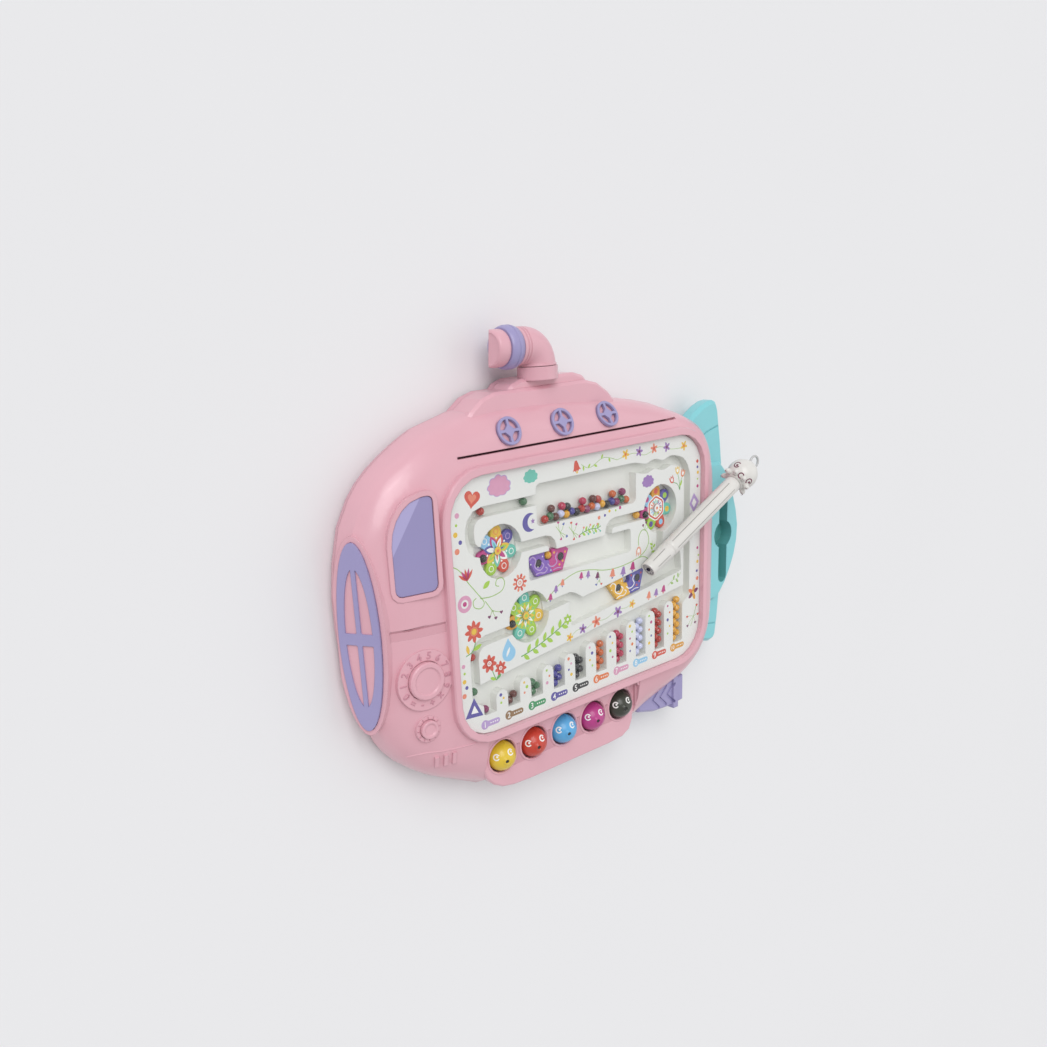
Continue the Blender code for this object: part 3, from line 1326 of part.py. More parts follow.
def thruster():
    body = chamfered_prism(places(THRUSTER_SHARES), THRUSTER_BOTTOM, THRUSTER_TOP, THRUSTER_CHAMFER)
    band = prism(places(BAND_SHARES), THRUSTER_BOTTOM - BAND_PROUD, THRUSTER_TOP + BAND_PROUD)
    end = chamfered_prism(places(BOX_SHARES), THRUSTER_BOTTOM, THRUSTER_TOP, THRUSTER_CHAMFER / 2)
    return cut(united(body, band, end), body_cutter(), *chevrons())


def chevrons():
    """Arrow grooves that point towards the nose."""
    left = place(THRUSTER_SHARES[1])
    right = place(THRUSTER_SHARES[3])
    low = place(THRUSTER_SHARES[4])
    half = (right.y - low.y) / 3
    y = (right.y + low.y) / 2
    made = []
    for i in range(CHEVRON_COUNT):
        x = left.x + (right.x - left.x) * (FIRST_CHEVRON_SHARE + CHEVRON_PITCH_SHARE * i)
        arms = [Vector((x + half, y + half, 0)), Vector((x, y, 0)), Vector((x + half, y - half, 0))]
        made.append(prism(ribbon(arms, 2 * GROOVE_WIDTH, 2, GROOVE_WIDTH), THRUSTER_TOP - GROOVE_WIDTH,
                          THRUSTER_TOP + OVERRUN))
    return made


def pen_slope():
    """The pen lies on its shoulder and on the bezel's inner edge."""
    shoulder = PANEL_TOP + GAP + PEN_RADIUS
    to_bezel = (RIGHT_HALF - place(PEN_TIP_SHARES).x) / math.cos(PEN_TURN) - PEN_TIP_LENGTH
    return math.atan2(BEZEL_TOP - PANEL_TOP, to_bezel), shoulder


def pen_matrix():
    """Local Z runs along the pen, from its tip to its head."""
    slope, shoulder = pen_slope()
    lift = shoulder - PEN_TIP_LENGTH * math.sin(slope)
    turn = Matrix.Rotation(PEN_TURN, 4, "Z") @ Matrix.Rotation(math.pi / 2 - slope, 4, "Y")
    return Matrix.Translation(place(PEN_TIP_SHARES) + Vector((0, 0, lift))) @ turn


def pen_magnet():
    return cylinder(PEN_MAGNET_RADIUS, 0, PEN_MAGNET_LENGTH, 10)


def pen_body():
    """The pen's tapered tip, with the magnet's bore, and its fluted grip."""
    end = PEN_TIP_LENGTH + PEN_BODY_LENGTH
    swell = (PEN_RADIUS - PEN_TIP_RADIUS) * PEN_SWELL_SHARE
    profile = [(PEN_TIP_RADIUS - GAP, 0), (PEN_TIP_RADIUS, PEN_TIP_RADIUS / 2),
               (PEN_TIP_RADIUS + swell, PEN_TIP_LENGTH / 2), (PEN_RADIUS, PEN_TIP_LENGTH),
               (PEN_RADIUS, end), (PEN_SPIGOT_RADIUS, end), (PEN_SPIGOT_RADIUS, end + PEN_SPIGOT_LENGTH)]
    body = cut(turned(profile, 18), cylinder(PEN_MAGNET_RADIUS + GAP, -OVERRUN, PEN_MAGNET_LENGTH + GAP, 10))
    flutes = []
    low = PEN_TIP_LENGTH + (PEN_BODY_LENGTH - PEN_FLUTE_LENGTH) / 2
    for i in range(PEN_FLUTES):
        turn = Matrix.Rotation(math.tau * (i + 1 / 2) / PEN_FLUTES, 4, "Z")
        side = Vector((PEN_RADIUS, 0, 0))
        flute = box(2 * GROOVE_DEPTH, PEN_FLUTE_WIDTH, low, low + PEN_FLUTE_LENGTH, side)
        flutes.append(moved(flute, turn))
    return cut(body, *flutes)


def pen_head():
    """A ball-headed sea creature: round head, a skirt of short arms and a hanging loop."""
    start = PEN_TIP_LENGTH + PEN_BODY_LENGTH + GAP
    middle = start + PEN_HEAD_RADIUS * HEAD_SEAT_SHARE
    rows = 7
    profile = []
    for i in range(1, rows):
        turn = math.pi * (i / rows - 1 / 2)
        profile.append((PEN_HEAD_RADIUS * math.cos(turn), middle + PEN_HEAD_RADIUS * math.sin(turn)))
    profile = [(PEN_RADIUS, start)] + [p for p in profile if p[1] > start + PEN_HEAD_RADIUS / 6]
    profile.append((0, middle + PEN_HEAD_RADIUS))
    head = turned(profile, 14)
    arms = []
    for i in range(TENTACLE_COUNT):
        turn = math.tau * (i + 1 / 2) / TENTACLE_COUNT
        spot = Vector((math.cos(turn), math.sin(turn), 0)) * (PEN_RADIUS + TENTACLE_RADIUS)
        arm = bmesh.new()
        bmesh.ops.create_uvsphere(arm, u_segments=6, v_segments=4, radius=TENTACLE_RADIUS)
        arms.append(shifted(arm, spot + Vector((0, 0, start + TENTACLE_RADIUS))))
    loop = shifted(pen_loop(), Vector((0, 0, middle + PEN_HEAD_RADIUS)))
    head = united(head, loop, *arms)
    bore = cylinder(PEN_SPIGOT_RADIUS + GAP, start - OVERRUN, start + PEN_SPIGOT_LENGTH + GAP, 12)
    return cut(head, bore)


def pen_loop():
    """A small closed ring that stands on the head."""
    bm = bmesh.new()
    around = 10
    sides = 5
    rows = []
    for i in range(around):
        turn = math.tau * i / around
        out = Vector((math.cos(turn), 0, math.sin(turn)))
        row = []
        for k in range(sides):
            lean = math.tau * k / sides
            point = out * (PEN_LOOP_RADIUS + PEN_LOOP_WIRE * math.cos(lean))
            row.append(bm.verts.new(point + Vector((0, PEN_LOOP_WIRE * math.sin(lean), 0))))
        rows.append(row)
    for i in range(around):
        for k in range(sides):
            after = (k + 1) % sides
            bm.faces.new((rows[i][k], rows[i - 1][k], rows[i - 1][after], rows[i][after]))
    return shifted(bm, Vector((0, 0, PEN_LOOP_RADIUS - PEN_LOOP_WIRE / 2)))


def case_screw(spot):
    low = REAR_HEIGHT + SCREW_SINK
    profile = [(SCREW_HEAD_RADIUS, low), (SCREW_HEAD_RADIUS, low + SCREW_HEAD_HEIGHT),
               (SCREW_RADIUS, low + SCREW_HEAD_HEIGHT), (SCREW_RADIUS, low + SCREW_LENGTH)]
    return shifted(turned(profile, 10), spot)


def drawing_frame():
    low = REAR_HEIGHT + GAP
    high = REAR_HEIGHT + WALL + LEG_CLEARANCE
    frame = prism(board_outline(BOARD_FRAME), low, high)
    seat = prism(board_outline(GAP), low - OVERRUN, low + BOARD_THICKNESS + GAP)
    window = prism(board_outline(-BOARD_FRAME / 2), low, high + OVERRUN)
    return cut(frame, seat, window)


def drawing_board():
    low = REAR_HEIGHT + GAP + LEG_PANEL_DEPTH / 2
    return prism(board_outline(0.0), low, low + BOARD_THICKNESS - LEG_PANEL_DEPTH / 2)


def side_window():
    low = WINDOW_PROUD - WINDOW_RECESS - WINDOW_PANE + GAP
    pane = chamfered_prism(window_outline(-GAP), low, WINDOW_PROUD - WINDOW_RECESS, GAP)
    return moved(pane, window_matrix())


def build_board(root):
    pink = material("pink_shell", PINK)
    purple = material("purple_plastic", PURPLE)
    teal = material("teal_plastic", TEAL)
    white = material("white_maze", WHITE)
    ivory = material("ivory_plastic", IVORY)
    steel = material("zinc_steel", STEEL, 0.3, 1.0)
    clear = material("clear_sheet", (0.95, 0.96, 0.97), 0.05, 0.0, 0.25)
    add_object("front_shell", front_shell(), pink, root)
    add_object("rear_shell", rear_shell(), pink, root)
    add_object("maze_tray", maze_tray(), white, root)
    add_object("clear_cover", clear_cover(), clear, root)
    add_object("side_window", side_window(), purple, root)
    add_object("nose_window", nose_window(), purple, root)
    add_object("tail_fin", tail_fin(), teal, root)
    add_object("thruster", thruster(), purple, root)
    add_object("drawing_frame", drawing_frame(), ivory, root)
    add_object("drawing_board", drawing_board(), white, root)
    for i, matrix in enumerate(porthole_matrices()):
        add_object(f"porthole_{i + 1}", porthole(matrix), purple, root)
    for i, spot in enumerate(screw_places()):
        add_object(f"case_screw_{i + 1}", case_screw(spot), steel, root)
    for i, spot in enumerate(places(WHEEL_SHARES)):
        add_object(f"wheel_axle_{i + 1}", wheel_axle(spot), steel, root)
    for i, (x, y, side) in enumerate(leg_places()):
        add_object(f"leg_{i + 1}", leg(side), ivory, pivot(f"leg_{i + 1}_pivot", (x, y, PIN_HEIGHT), root))


def build_controls(root):
    pink = material("pink_control", PINK)
    purple = material("purple_ring", PURPLE)
    add_object("dial_knob", knob(DIAL_KNOB_RADIUS, DIAL_KNOB_HEIGHT, DIAL_DISH_RADIUS), pink,
               pivot("dial_pivot", dial_matrix(DIAL_SHARES), root))
    add_object("small_knob", knob(SMALL_KNOB_RADIUS, SMALL_KNOB_HEIGHT, SMALL_DISH_RADIUS), pink,
               pivot("small_dial_pivot", dial_matrix(SMALL_DIAL_SHARES), root))
    turning = pivot("periscope_pivot", periscope_base(), root)
    add_object("periscope_elbow", periscope_elbow(), pink, turning)
    add_object("periscope_ring", periscope_ring(), purple, turning)
    add_object("periscope_cap", periscope_cap(), pink, turning)


def build_maze_pieces(root):
    black = material("black_magnet", BLACK)
    for i, spot in enumerate(places(WHEEL_SHARES)):
        wheel = pivot(f"flower_{i + 1}_pivot", spot, root)
        finish = material(f"flower_{i + 1}", WHEEL_COLOURS[i])
        add_object(f"flower_wheel_{i + 1}", flower_wheel(), finish, wheel)
    for i in range(len(CARRIER_TRAVEL_SHARES)):
        add_object(f"carrier_{i + 1}", carrier(i), material(f"sled_{i + 1}", CARRIER_COLOURS[i]), root)
        for k, shares in enumerate(CARRIER_MAGNET_SHARES):
            number = len(CARRIER_MAGNET_SHARES) * i + k + 1
            add_object(f"carrier_magnet_{number}", carrier_magnet(i, shares), black, root)
    amber = material("amber_bead", SLOT_COLOURS[-1])
    notch = carrier_matrix(0) @ Vector((0, CARRIER_WIDTH * CARRIER_BEAD_SHARE, BEAD_Z))
    add_object("carrier_bead", bead(notch), amber, root)
    for i, spot in enumerate(places(CHANNEL_BEAD_SHARES)):
        centre = spot + Vector((0, 0, BEAD_Z))
        add_object(f"channel_bead_{i + 1}", bead(centre), material("red_bead", SLOT_COLOURS[8]), root)


def build_bead_groups(root):
    for i in range(SLOT_COUNT):
        finish = material(f"slot_bead_{i + 1}", SLOT_COLOURS[i])
        add_object(f"counting_beads_{i + 1:02d}", bead_group(slot_bead_places(i)), finish, root)
    mixed = material("mixed_beads", SLOT_COLOURS[6])
    add_object("basin_beads", bead_group(basin_bead_places()), mixed, root)


def build_loose_pieces(root):
    for i, spot in enumerate(well_centres()):
        add_object(f"fish_{i + 1}", fish(spot), material(f"fish_{i + 1}", FISH_COLOURS[i], 0.2), root)
    white = material("white_pen", (0.78, 0.77, 0.73))
    pen = pivot("pen_axis", pen_matrix(), root)
    add_object("pen_body", pen_body(), white, pen)
    add_object("pen_magnet", pen_magnet(), material("pen_steel", STEEL, 0.3, 1.0), pen)
    add_object("pen_head", pen_head(), white, pen)


def build():
    clear_scene()
    root = pivot("board_origin", (PANEL_X, PANEL_Y, 0), None)
    build_board(root)
    build_controls(root)
    build_maze_pieces(root)
    build_bead_groups(root)
    build_loose_pieces(root)
    bpy.context.view_layer.update()


build()
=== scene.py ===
"""Looks of the magnetic maze board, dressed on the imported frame."""
import random
from math import acos, asin, atan2, cos, degrees, hypot, pi, radians, sin, sqrt, tan, tau

import bmesh
import bpy
from mathutils import Matrix, Vector
from mathutils.bvhtree import BVHTree

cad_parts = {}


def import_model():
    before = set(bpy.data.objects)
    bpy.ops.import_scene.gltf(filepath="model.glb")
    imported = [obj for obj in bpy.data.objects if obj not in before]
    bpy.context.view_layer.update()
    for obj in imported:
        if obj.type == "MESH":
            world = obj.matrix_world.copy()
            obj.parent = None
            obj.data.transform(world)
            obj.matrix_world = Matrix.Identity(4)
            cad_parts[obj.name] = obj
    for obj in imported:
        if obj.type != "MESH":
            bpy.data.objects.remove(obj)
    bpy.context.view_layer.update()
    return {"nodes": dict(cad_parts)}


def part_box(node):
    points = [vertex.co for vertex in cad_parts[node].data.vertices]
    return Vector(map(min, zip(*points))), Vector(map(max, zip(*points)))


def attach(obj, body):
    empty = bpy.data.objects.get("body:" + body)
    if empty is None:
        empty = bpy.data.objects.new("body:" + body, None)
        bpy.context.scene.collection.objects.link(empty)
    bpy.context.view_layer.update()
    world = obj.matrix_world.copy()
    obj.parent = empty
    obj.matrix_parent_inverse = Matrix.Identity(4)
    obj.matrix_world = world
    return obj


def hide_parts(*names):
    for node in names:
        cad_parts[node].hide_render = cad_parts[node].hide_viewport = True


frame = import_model()
nodes = frame["nodes"]


# ---------- places ----------

def middle_of(name):
    low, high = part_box(name)
    return (low + high) / 2


MM = 0.001
UP = Vector((0, 0, 1))
MIDDLE = middle_of("clear_cover")
HALF_X, HALF_Y = 135, 97.0
TRAY_TOP = 46.2
SLED_TOP = 43.52
BEAD_Z = 42.6
BEAD_RADIUS = 3.0
BEAD_SIDE, BEAD_FOOT, BEAD_RISE = 2.2, 3.4, 3.75
SLOT_PITCH = 23.655
FIRST_SLOT = (-106.515, -81.77)
WELL_FEET = [(-0.091431, -0.145233), (-0.058334, -0.144772), (-0.025238, -0.144312), (0.007859, -0.143851),
             (0.040956, -0.14339)]


def mm(x, y, z=0):
    """A place in millimetres from the maze's middle, as metres in the row frame."""
    return Vector((MIDDLE.x + x * MM, MIDDLE.y + y * MM, z * MM))


def share(x, y):
    return x * HALF_X, y * HALF_Y


def in_mm(place, turn=None):
    """A matrix for a form in millimetres, set at a place in metres."""
    return Matrix.Translation(place) @ (turn or Matrix.Identity(4)) @ Matrix.Scale(MM, 4)


def round_turns(count, start=0):
    """Even steps of a whole turn."""
    return [start + tau * i / count for i in range(count)]


def at_turn(radius, turn, x=0, y=0):
    """A point on a circle about a middle."""
    return x + radius * cos(turn), y + radius * sin(turn)


def laid(points, x, y, size=1, lean=0):
    """Points grown, turned by degrees and moved."""
    c, s = cos(radians(lean)), sin(radians(lean))
    return [(x + size * (u * c - v * s), y + size * (u * s + v * c)) for u, v in points]


# ---------- shader maths ----------

class Signal:
    """A shader socket that takes part in sums."""

    def __init__(self, finish, socket):
        self.finish = finish
        self.socket = socket

    def math(self, operation, *others):
        return self.finish.maths(operation, self, *others)

    def __add__(self, other):
        return self.math("ADD", other)

    def __mul__(self, other):
        return self.math("MULTIPLY", other)

    def __sub__(self, other):
        return self.math("SUBTRACT", other)

    def __truediv__(self, other):
        return self.math("DIVIDE", other)

    def __rsub__(self, other):
        return self.finish.maths("SUBTRACT", other, self)

    def __rtruediv__(self, other):
        return self.finish.maths("DIVIDE", other, self)

    __radd__ = __add__
    __rmul__ = __mul__

    def above(self, edge, soft=0.0001):
        """1 where this is over the edge, 0 under it, with a soft step between."""
        return ((self - (edge - soft)) / (2 * soft)).clamped()

    def below(self, edge, soft=0.0001):
        return 1 - self.above(edge, soft)

    def clamped(self):
        return self.math("MAXIMUM", 0).math("MINIMUM", 1)


class Finish:
    """A node material that is built by expressions."""

    def __init__(self, name, key=None):
        self.material = FINISHES[key or name] = bpy.data.materials.new(name)
        self.material.use_nodes = True
        self.tree = self.material.node_tree
        self.shader = self.tree.nodes["Principled BSDF"]

    def feed(self, socket, value):
        """A link or a constant for one socket."""
        if isinstance(value, Signal):
            self.tree.links.new(value.socket, socket)
        elif value is not None:
            socket.default_value = value

    def node(self, kind, settings=None, inputs=None, output=0):
        made = self.tree.nodes.new(kind)
        for key, value in (settings or {}).items():
            setattr(made, key, value)
        for key, value in (inputs or {}).items():
            self.feed(made.inputs[key], value)
        return Signal(self, made.outputs[output])

    def maths(self, operation, *values):
        return self.node("ShaderNodeMath", {"operation": operation}, dict(enumerate(values)))

    def mix(self, factor, first, second):
        """Two colours mixed by a factor."""
        inputs = {0: factor, 6: solid(first), 7: solid(second)}
        return self.node("ShaderNodeMix", {"data_type": "RGBA"}, inputs, 2)

    def shades(self, factor, code, low, high, lift):
        """A colour between a deeper and a lighter tone of one code."""
        base = paint(code)
        return self.mix(factor, [c * low for c in base], [min(1, c * high + lift) for c in base])

    def place(self):
        return self.node("ShaderNodeTexCoord", output=3)

    def axes(self):
        """The three parts of a place, in metres of the row frame."""
        split = self.node("ShaderNodeSeparateXYZ", None, {0: self.place()})
        return [Signal(self, split.socket.node.outputs[i]) for i in range(3)]

    def noise(self, size, detail=2, rough=0.5, lean=None):
        """Cloudy noise from 0 to 1 whose lumps are about size metres across."""
        vector = self.place()
        if lean:
            vector = self.node("ShaderNodeVectorMath", {"operation": "MULTIPLY"}, {0: vector, 1: lean})
        inputs = {"Vector": vector, "Scale": 1 / size, "Detail": detail, "Roughness": rough}
        return self.node("ShaderNodeTexNoise", None, inputs)

    def cells(self, size, feature):
        inputs = {"Vector": self.place(), "Scale": 1 / size}
        return self.node("ShaderNodeTexVoronoi", {"feature": feature}, inputs)

    def bump(self, height, depth, strength, under=None):
        """Relief over edges rounded by a radius, as a mould leaves them, or over another relief."""
        if isinstance(under, float):
            under = self.node("ShaderNodeBevel", {"samples": 6}, {"Radius": under})
        inputs = {"Height": height, "Distance": depth, "Strength": strength, "Normal": under}
        return self.node("ShaderNodeBump", None, inputs)

    def set(self, **values):
        """Values or links of the shader's own sockets, with spaces written as underscores."""
        for key, value in values.items():
            self.feed(self.shader.inputs[key.replace("_", " ")], value)


def paint(code):
    """Linear colour of a six-figure web colour."""
    parts = [int(code[i:i + 2], 16) / 255 for i in (0, 2, 4)]
    return [p / 12.92 if p <= 0.04045 else ((p + 0.055) / 1.055) ** 2.4 for p in parts]


def solid(colour):
    """A socket's value for a signal, a web colour or three parts."""
    if isinstance(colour, Signal):
        return colour
    return (*(paint(colour) if isinstance(colour, str) else colour), 1)


# ---------- finishes ----------

FINISHES = {}


def moulded(name, code, rough=0.34, coat=0.12, grain=0.0011, edge=0.0008, rub=0):
    """Injection-moulded plastic: faint flow mottling, orange peel, soft edges and uneven gloss."""
    finish = Finish(name)
    fine = finish.noise(grain, 2, 0.6)
    gloss = rough - 0.06 + finish.noise(0.018, 4, 0.65) * 0.09 + fine * 0.03
    if rub:
        gloss = gloss + finish.noise(0.03, 6, 0.7, (1, 0.16, 1)).above(0.62, 0.05) * rub
    height = fine * 0.7 + finish.noise(0.006) * 1.2
    finish.colour = finish.shades(finish.noise(0.045, 3, 0.55), code, 0.95, 1.05, 0.006)
    finish.set(Base_Color=finish.colour, Roughness=gloss, Coat_Weight=coat, Coat_Roughness=0.12, IOR=1.47,
               Normal=finish.bump(height, 0.00004, 0.6, edge))
    return finish


def tray_plastic():
    """White maze plate: printed top face and matt channel floors with fine moulding lines; a depth mask gives
    the floors a tint of their own, set against the shade in the channels as painted light.
    """
    finish = Finish("white_maze_plate", "tray")
    top = finish.axes()[2].above((TRAY_TOP - 0.25) * MM, 0.1 * MM)
    flow = finish.noise(0.03, 3, 0.55)
    # Painted light: below the top face the floors take their own tint, tuned against the shade that falls in
    # the channels.
    colour = finish.mix(top, finish.mix(flow, "e6e7e2", "dedfda"), finish.mix(flow, "e6e7e4", "dfe0dd"))
    height = finish.noise(0.0008, 2, 0.6) * 0.5 + finish.noise(0.002, 3, 0.6, (1, 0.08, 1)) * 0.5
    finish.set(Base_Color=colour, Roughness=0.42 - top * 0.1 + finish.noise(0.012, 3, 0.6) * 0.08,
               Coat_Weight=0.08, Normal=finish.bump(height, 0.00003, 0.5, 0.0007))


def clear_plastic():
    """Clear cover sheet: faint ripple and a few hair scratches."""
    finish = Finish("clear_cover_sheet", "clear")
    ripple = finish.noise(0.05)
    hair = finish.noise(0.02, 8, 0.75, (0.05, 1, 1)).above(0.72, 0.02)
    finish.set(Base_Color=(0.55, 0.6, 0.6, 1), Roughness=0.04 + hair * 0.1 + ripple * 0.03, IOR=1.49,
               Alpha=0.018 + hair * 0.02, Normal=finish.bump(ripple + hair * 0.1, 0.00006, 0.5))


def printed(name, code):
    """Printing ink on plastic: a slight screen mottle and a satin face."""
    finish = Finish("ink_" + name, name)
    body = finish.noise(0.0035, 3, 0.6)
    finish.set(Base_Color=finish.shades(body, code, 0.9, 1.06, 0.01), Roughness=0.34 + body * 0.1,
               Normal=finish.bump(finish.cells(0.0006, "SMOOTH_F1"), 0.00001, 0.4), Coat_Weight=0.1)


def glossy_bead(name, code):
    """Ball of tinted glossy plastic with swirls of its own colour."""
    finish = Finish(name)
    swirl = finish.noise(0.0028, 4, 0.6)
    finish.set(Base_Color=finish.shades(swirl, code, 0.72, 1.25, 0.015), Roughness=0.16 + swirl * 0.09,
               Normal=finish.bump(swirl, 0.00003, 0.4), Coat_Weight=0.4, Coat_Roughness=0.05, IOR=1.5)


def steel():
    """Zinc-plated steel, turned in fine rings."""
    finish = Finish("zinc_steel", "steel")
    fine = finish.noise(0.0006, 4, 0.7)
    finish.set(Base_Color=finish.mix(fine, "a9acae", "c9ccce"), Metallic=1, Roughness=0.26 + fine * 0.16,
               Normal=finish.bump(fine, 0.00003, 0.5, 0.0003))


def magnet():
    """Dark magnet: polished black ferrite with pits."""
    finish = Finish("black_magnet", "magnet")
    cloud = finish.noise(0.002, 4, 0.6)
    finish.set(Base_Color=finish.mix(cloud, "17151a", "2c282e"), Roughness=0.16 + cloud * 0.16,
               Normal=finish.bump(finish.cells(0.0009, "F1"), 0.00006, 0.5, 0.0006),
               Coat_Weight=0.35, Coat_Roughness=0.08)


def writing_sheet():
    """Wipe-clean drawing sheet with the ghost of rubbed-out strokes."""
    finish = Finish("wipe_clean_sheet", "sheet")
    ghost = finish.noise(0.05, 5, 0.7, (1, 0.25, 1)).above(0.6, 0.12)
    film = finish.noise(0.009, 4, 0.65)
    finish.set(Base_Color=finish.mix(ghost * 0.35, finish.mix(film, "ececee", "e3e3e8"), "cfc9e4"),
               Roughness=0.16 + film * 0.1 + ghost * 0.1, Normal=finish.bump(film, 0.00003, 0.4),
               Coat_Weight=0.4, Coat_Roughness=0.08)


def apart(x, y, spot):
    """Distance of the surface from a spot, seen from above."""
    side, along = x - spot[0], y - spot[1]
    return (side * side + along * along).math("SQRT")


def shell_plastic():
    """Pink front shell: troughs between the fish wells, and a stepped belt and groove on the flank, with bump
    relief and painted darker as painted shade.
    """
    finish = moulded("shell_pink", PINK, rough=0.3, coat=0.35, rub=0.05)
    x, y, z = finish.axes()
    first, last = WELL_FEET[0], WELL_FEET[-1]
    far = apart(x, y, first)
    for foot in WELL_FEET[1:]:
        far = far.math("MINIMUM", apart(x, y, foot))
    along = (x - first[0]) * ((last[1] - first[1]) / (last[0] - first[0])) + first[1]
    band = (y - along + 3.6 * MM).math("ABSOLUTE").below(8.4 * MM, 0.4 * MM)
    shelf = x.above(first[0]) * x.below(last[0]) * z.above(37.6 * MM) * z.below(38.6 * MM)
    trough = far.above(15.6 * MM, 0.3 * MM) * band * shelf
    side = x - MIDDLE.x
    line = y - MIDDLE.y + side * 0.046 + 7.84 * MM
    flank = side.below(-141.6 * MM) * side.above(-186.0 * MM) * z.above(36.0 * MM)
    groove = line.below(0.7 * MM, 0.15 * MM) * line.above(-0.7 * MM, 0.15 * MM) * flank
    belt = line.below(0) * line.above(-6.6 * MM, 0.2 * MM) * flank
    # Painted shade: the troughs, belt and groove are darkened towards bb7f8c, the groove most, as shade in
    # the hollows and under the belt's step.
    painted_shade = finish.mix((trough * 0.5 + belt * 0.28 + groove * 0.6).clamped(), finish.colour, "bb7f8c")
    carved = finish.bump(1 - (trough + belt * 0.7 + groove * 0.5).clamped(), 0.0009, 0.8, 0.001)
    fine = finish.noise(0.0011, 2, 0.6) * 0.7 + finish.noise(0.006) * 1.2
    finish.set(Base_Color=painted_shade, Normal=finish.bump(fine, 0.00004, 0.6, carved))


def tail_plastic():
    """Teal tail: the pen groove and finger scoop are painted a deeper tone than the face, darker towards the
    bottom, as painted shade in the hollows.
    """
    finish = moulded("tail_teal", "82ccd3", coat=0.2, rub=0.05)
    x, y, z = finish.axes()
    spot = mm(*share(1.385, -0.040))
    bar = (x - spot.x).math("ABSOLUTE").below(6.0 * MM) * (y - spot.y).math("ABSOLUTE").below(45.4 * MM)
    inside = bar.math("MAXIMUM", apart(x, y, spot).below(12.8 * MM)) * z.below(30.6 * MM, 0.2 * MM)
    # Painted shade: inside the groove and scoop the teal darkens towards the bottom.
    painted_shade_teal = finish.mix(z.above(22.0 * MM, 5 * MM), "519894", "63aaaa")
    finish.set(Base_Color=finish.mix(inside, finish.colour, painted_shade_teal))


def window_plastic():
    """Purple pane with a painted reflection: a lighter sheen across its upper nose corner."""
    finish = moulded("pane", "958ebb", rough=0.3, coat=0.3)
    x, y, _ = finish.axes()
    spot = mm(-162.5, 57)
    lean = (y - spot.y) - (x - spot.x) * 1.64
    # Painted reflection: a lighter band beyond a diagonal line that fades as it goes.
    painted_sheen = lean.above(21.0 * MM, 0.3 * MM) * (1.25 - (lean - 21.0 * MM) * 14).clamped()
    finish.set(Base_Color=finish.mix(painted_sheen * 0.55, finish.colour, "bdb7e2"))


def sled_plastic(name, centre, left, right):
    """A sled in two colours that meet on a wavy line."""
    finish = moulded(name, left, rough=0.3, coat=0.3, edge=0.0005)
    x, y, _ = finish.axes()
    wave = finish.noise(0.006, 1) * 0.003
    other = (x + (y - centre.y) * 0.35 + wave).above(centre.x + 0.0022, 0.0002)
    finish.set(Base_Color=finish.mix(other, finish.colour, right))


PINK = "dda9b5"
moulded("pink", PINK, rough=0.36, coat=0.2, rub=0.05)
# Dial numbers and ticks: painted a deeper pink than the shell as painted shade.
moulded("dial_mark_shade_pink", "cf94a4", rough=0.4)
moulded("pink_back", "d9a4b1", rough=0.4, coat=0.1, rub=0.07)
moulded("purple", "9d96c2", rough=0.36)
moulded("ivory", "e0dccf", rough=0.4, rub=0.08)
moulded("pen_white", "dcdad6", rough=0.32, coat=0.2, edge=0.0004)
moulded("loop_clear", "bdbdbd", rough=0.2, coat=0.4, edge=0.0003)
# Darker finishes that paint shade: pen flute floors, the pen tip's bore and the screw heads' cross recesses.
for shade_name, shade_code in (("flute_shade", "b3b1ad"), ("bore_shade", "8d8b8a"), ("screw_recess_shade", "3a3a3c")):
    moulded(shade_name, shade_code, rough=0.5, edge=0.0002)
for make in (tray_plastic, clear_plastic, shell_plastic, tail_plastic, window_plastic, steel, magnet,
             writing_sheet):
    make()
sled_plastic("violet_sled", mm(-40.03, 20.56), "7d58b4", "bb3d86")
sled_plastic("amber_sled", mm(45.9, -17), "e2ae2e", "5c56a8")

INKS = {
    "red": "d0523f", "coral": "e2876c", "orange": "df7a45", "amber": "d99a2f", "yellow": "e5bd3e",
    "lime": "a3cb46", "green": "5fa554", "vine": "9cbf6c", "teal": "6abfae", "sky": "92c7e8",
    "blue": "4f5fae", "indigo": "5b539f", "violet": "9a74b5", "lilac": "b69dcf", "rose": "d79ab8",
    "magenta": "bb3a80", "plum": "77305f", "brown": "8f6f4c", "black": "2c2b2d", "white": "f1f1ee",
    "peach": "e2a088", "maroon": "6e2b45", "grass": "3f9460",
}
BEADS = {
    "bead_plum": "86325f", "bead_brown": "602f29", "bead_green": "446f4e", "bead_indigo": "423d8d",
    "bead_black": "252226", "bead_orange": "c25c27", "bead_crimson": "b22f50", "bead_lilac": "c6caea",
    "bead_red": "ad3129", "bead_amber": "dba12f",
}
FISH = {
    "yellow_fish": "dfc035", "red_fish": "c8402f", "blue_fish": "5aa9dd", "magenta_fish": "b83c86",
    "olive_fish": "363930",
}
for ink_name, ink_code in INKS.items():
    printed(ink_name, ink_code)
for bead_name, bead_code in BEADS.items():
    glossy_bead(bead_name, bead_code)
for fish_name, fish_code in FISH.items():
    moulded(fish_name, fish_code, rough=0.36, coat=0.25, edge=0.0004, grain=0.0008)

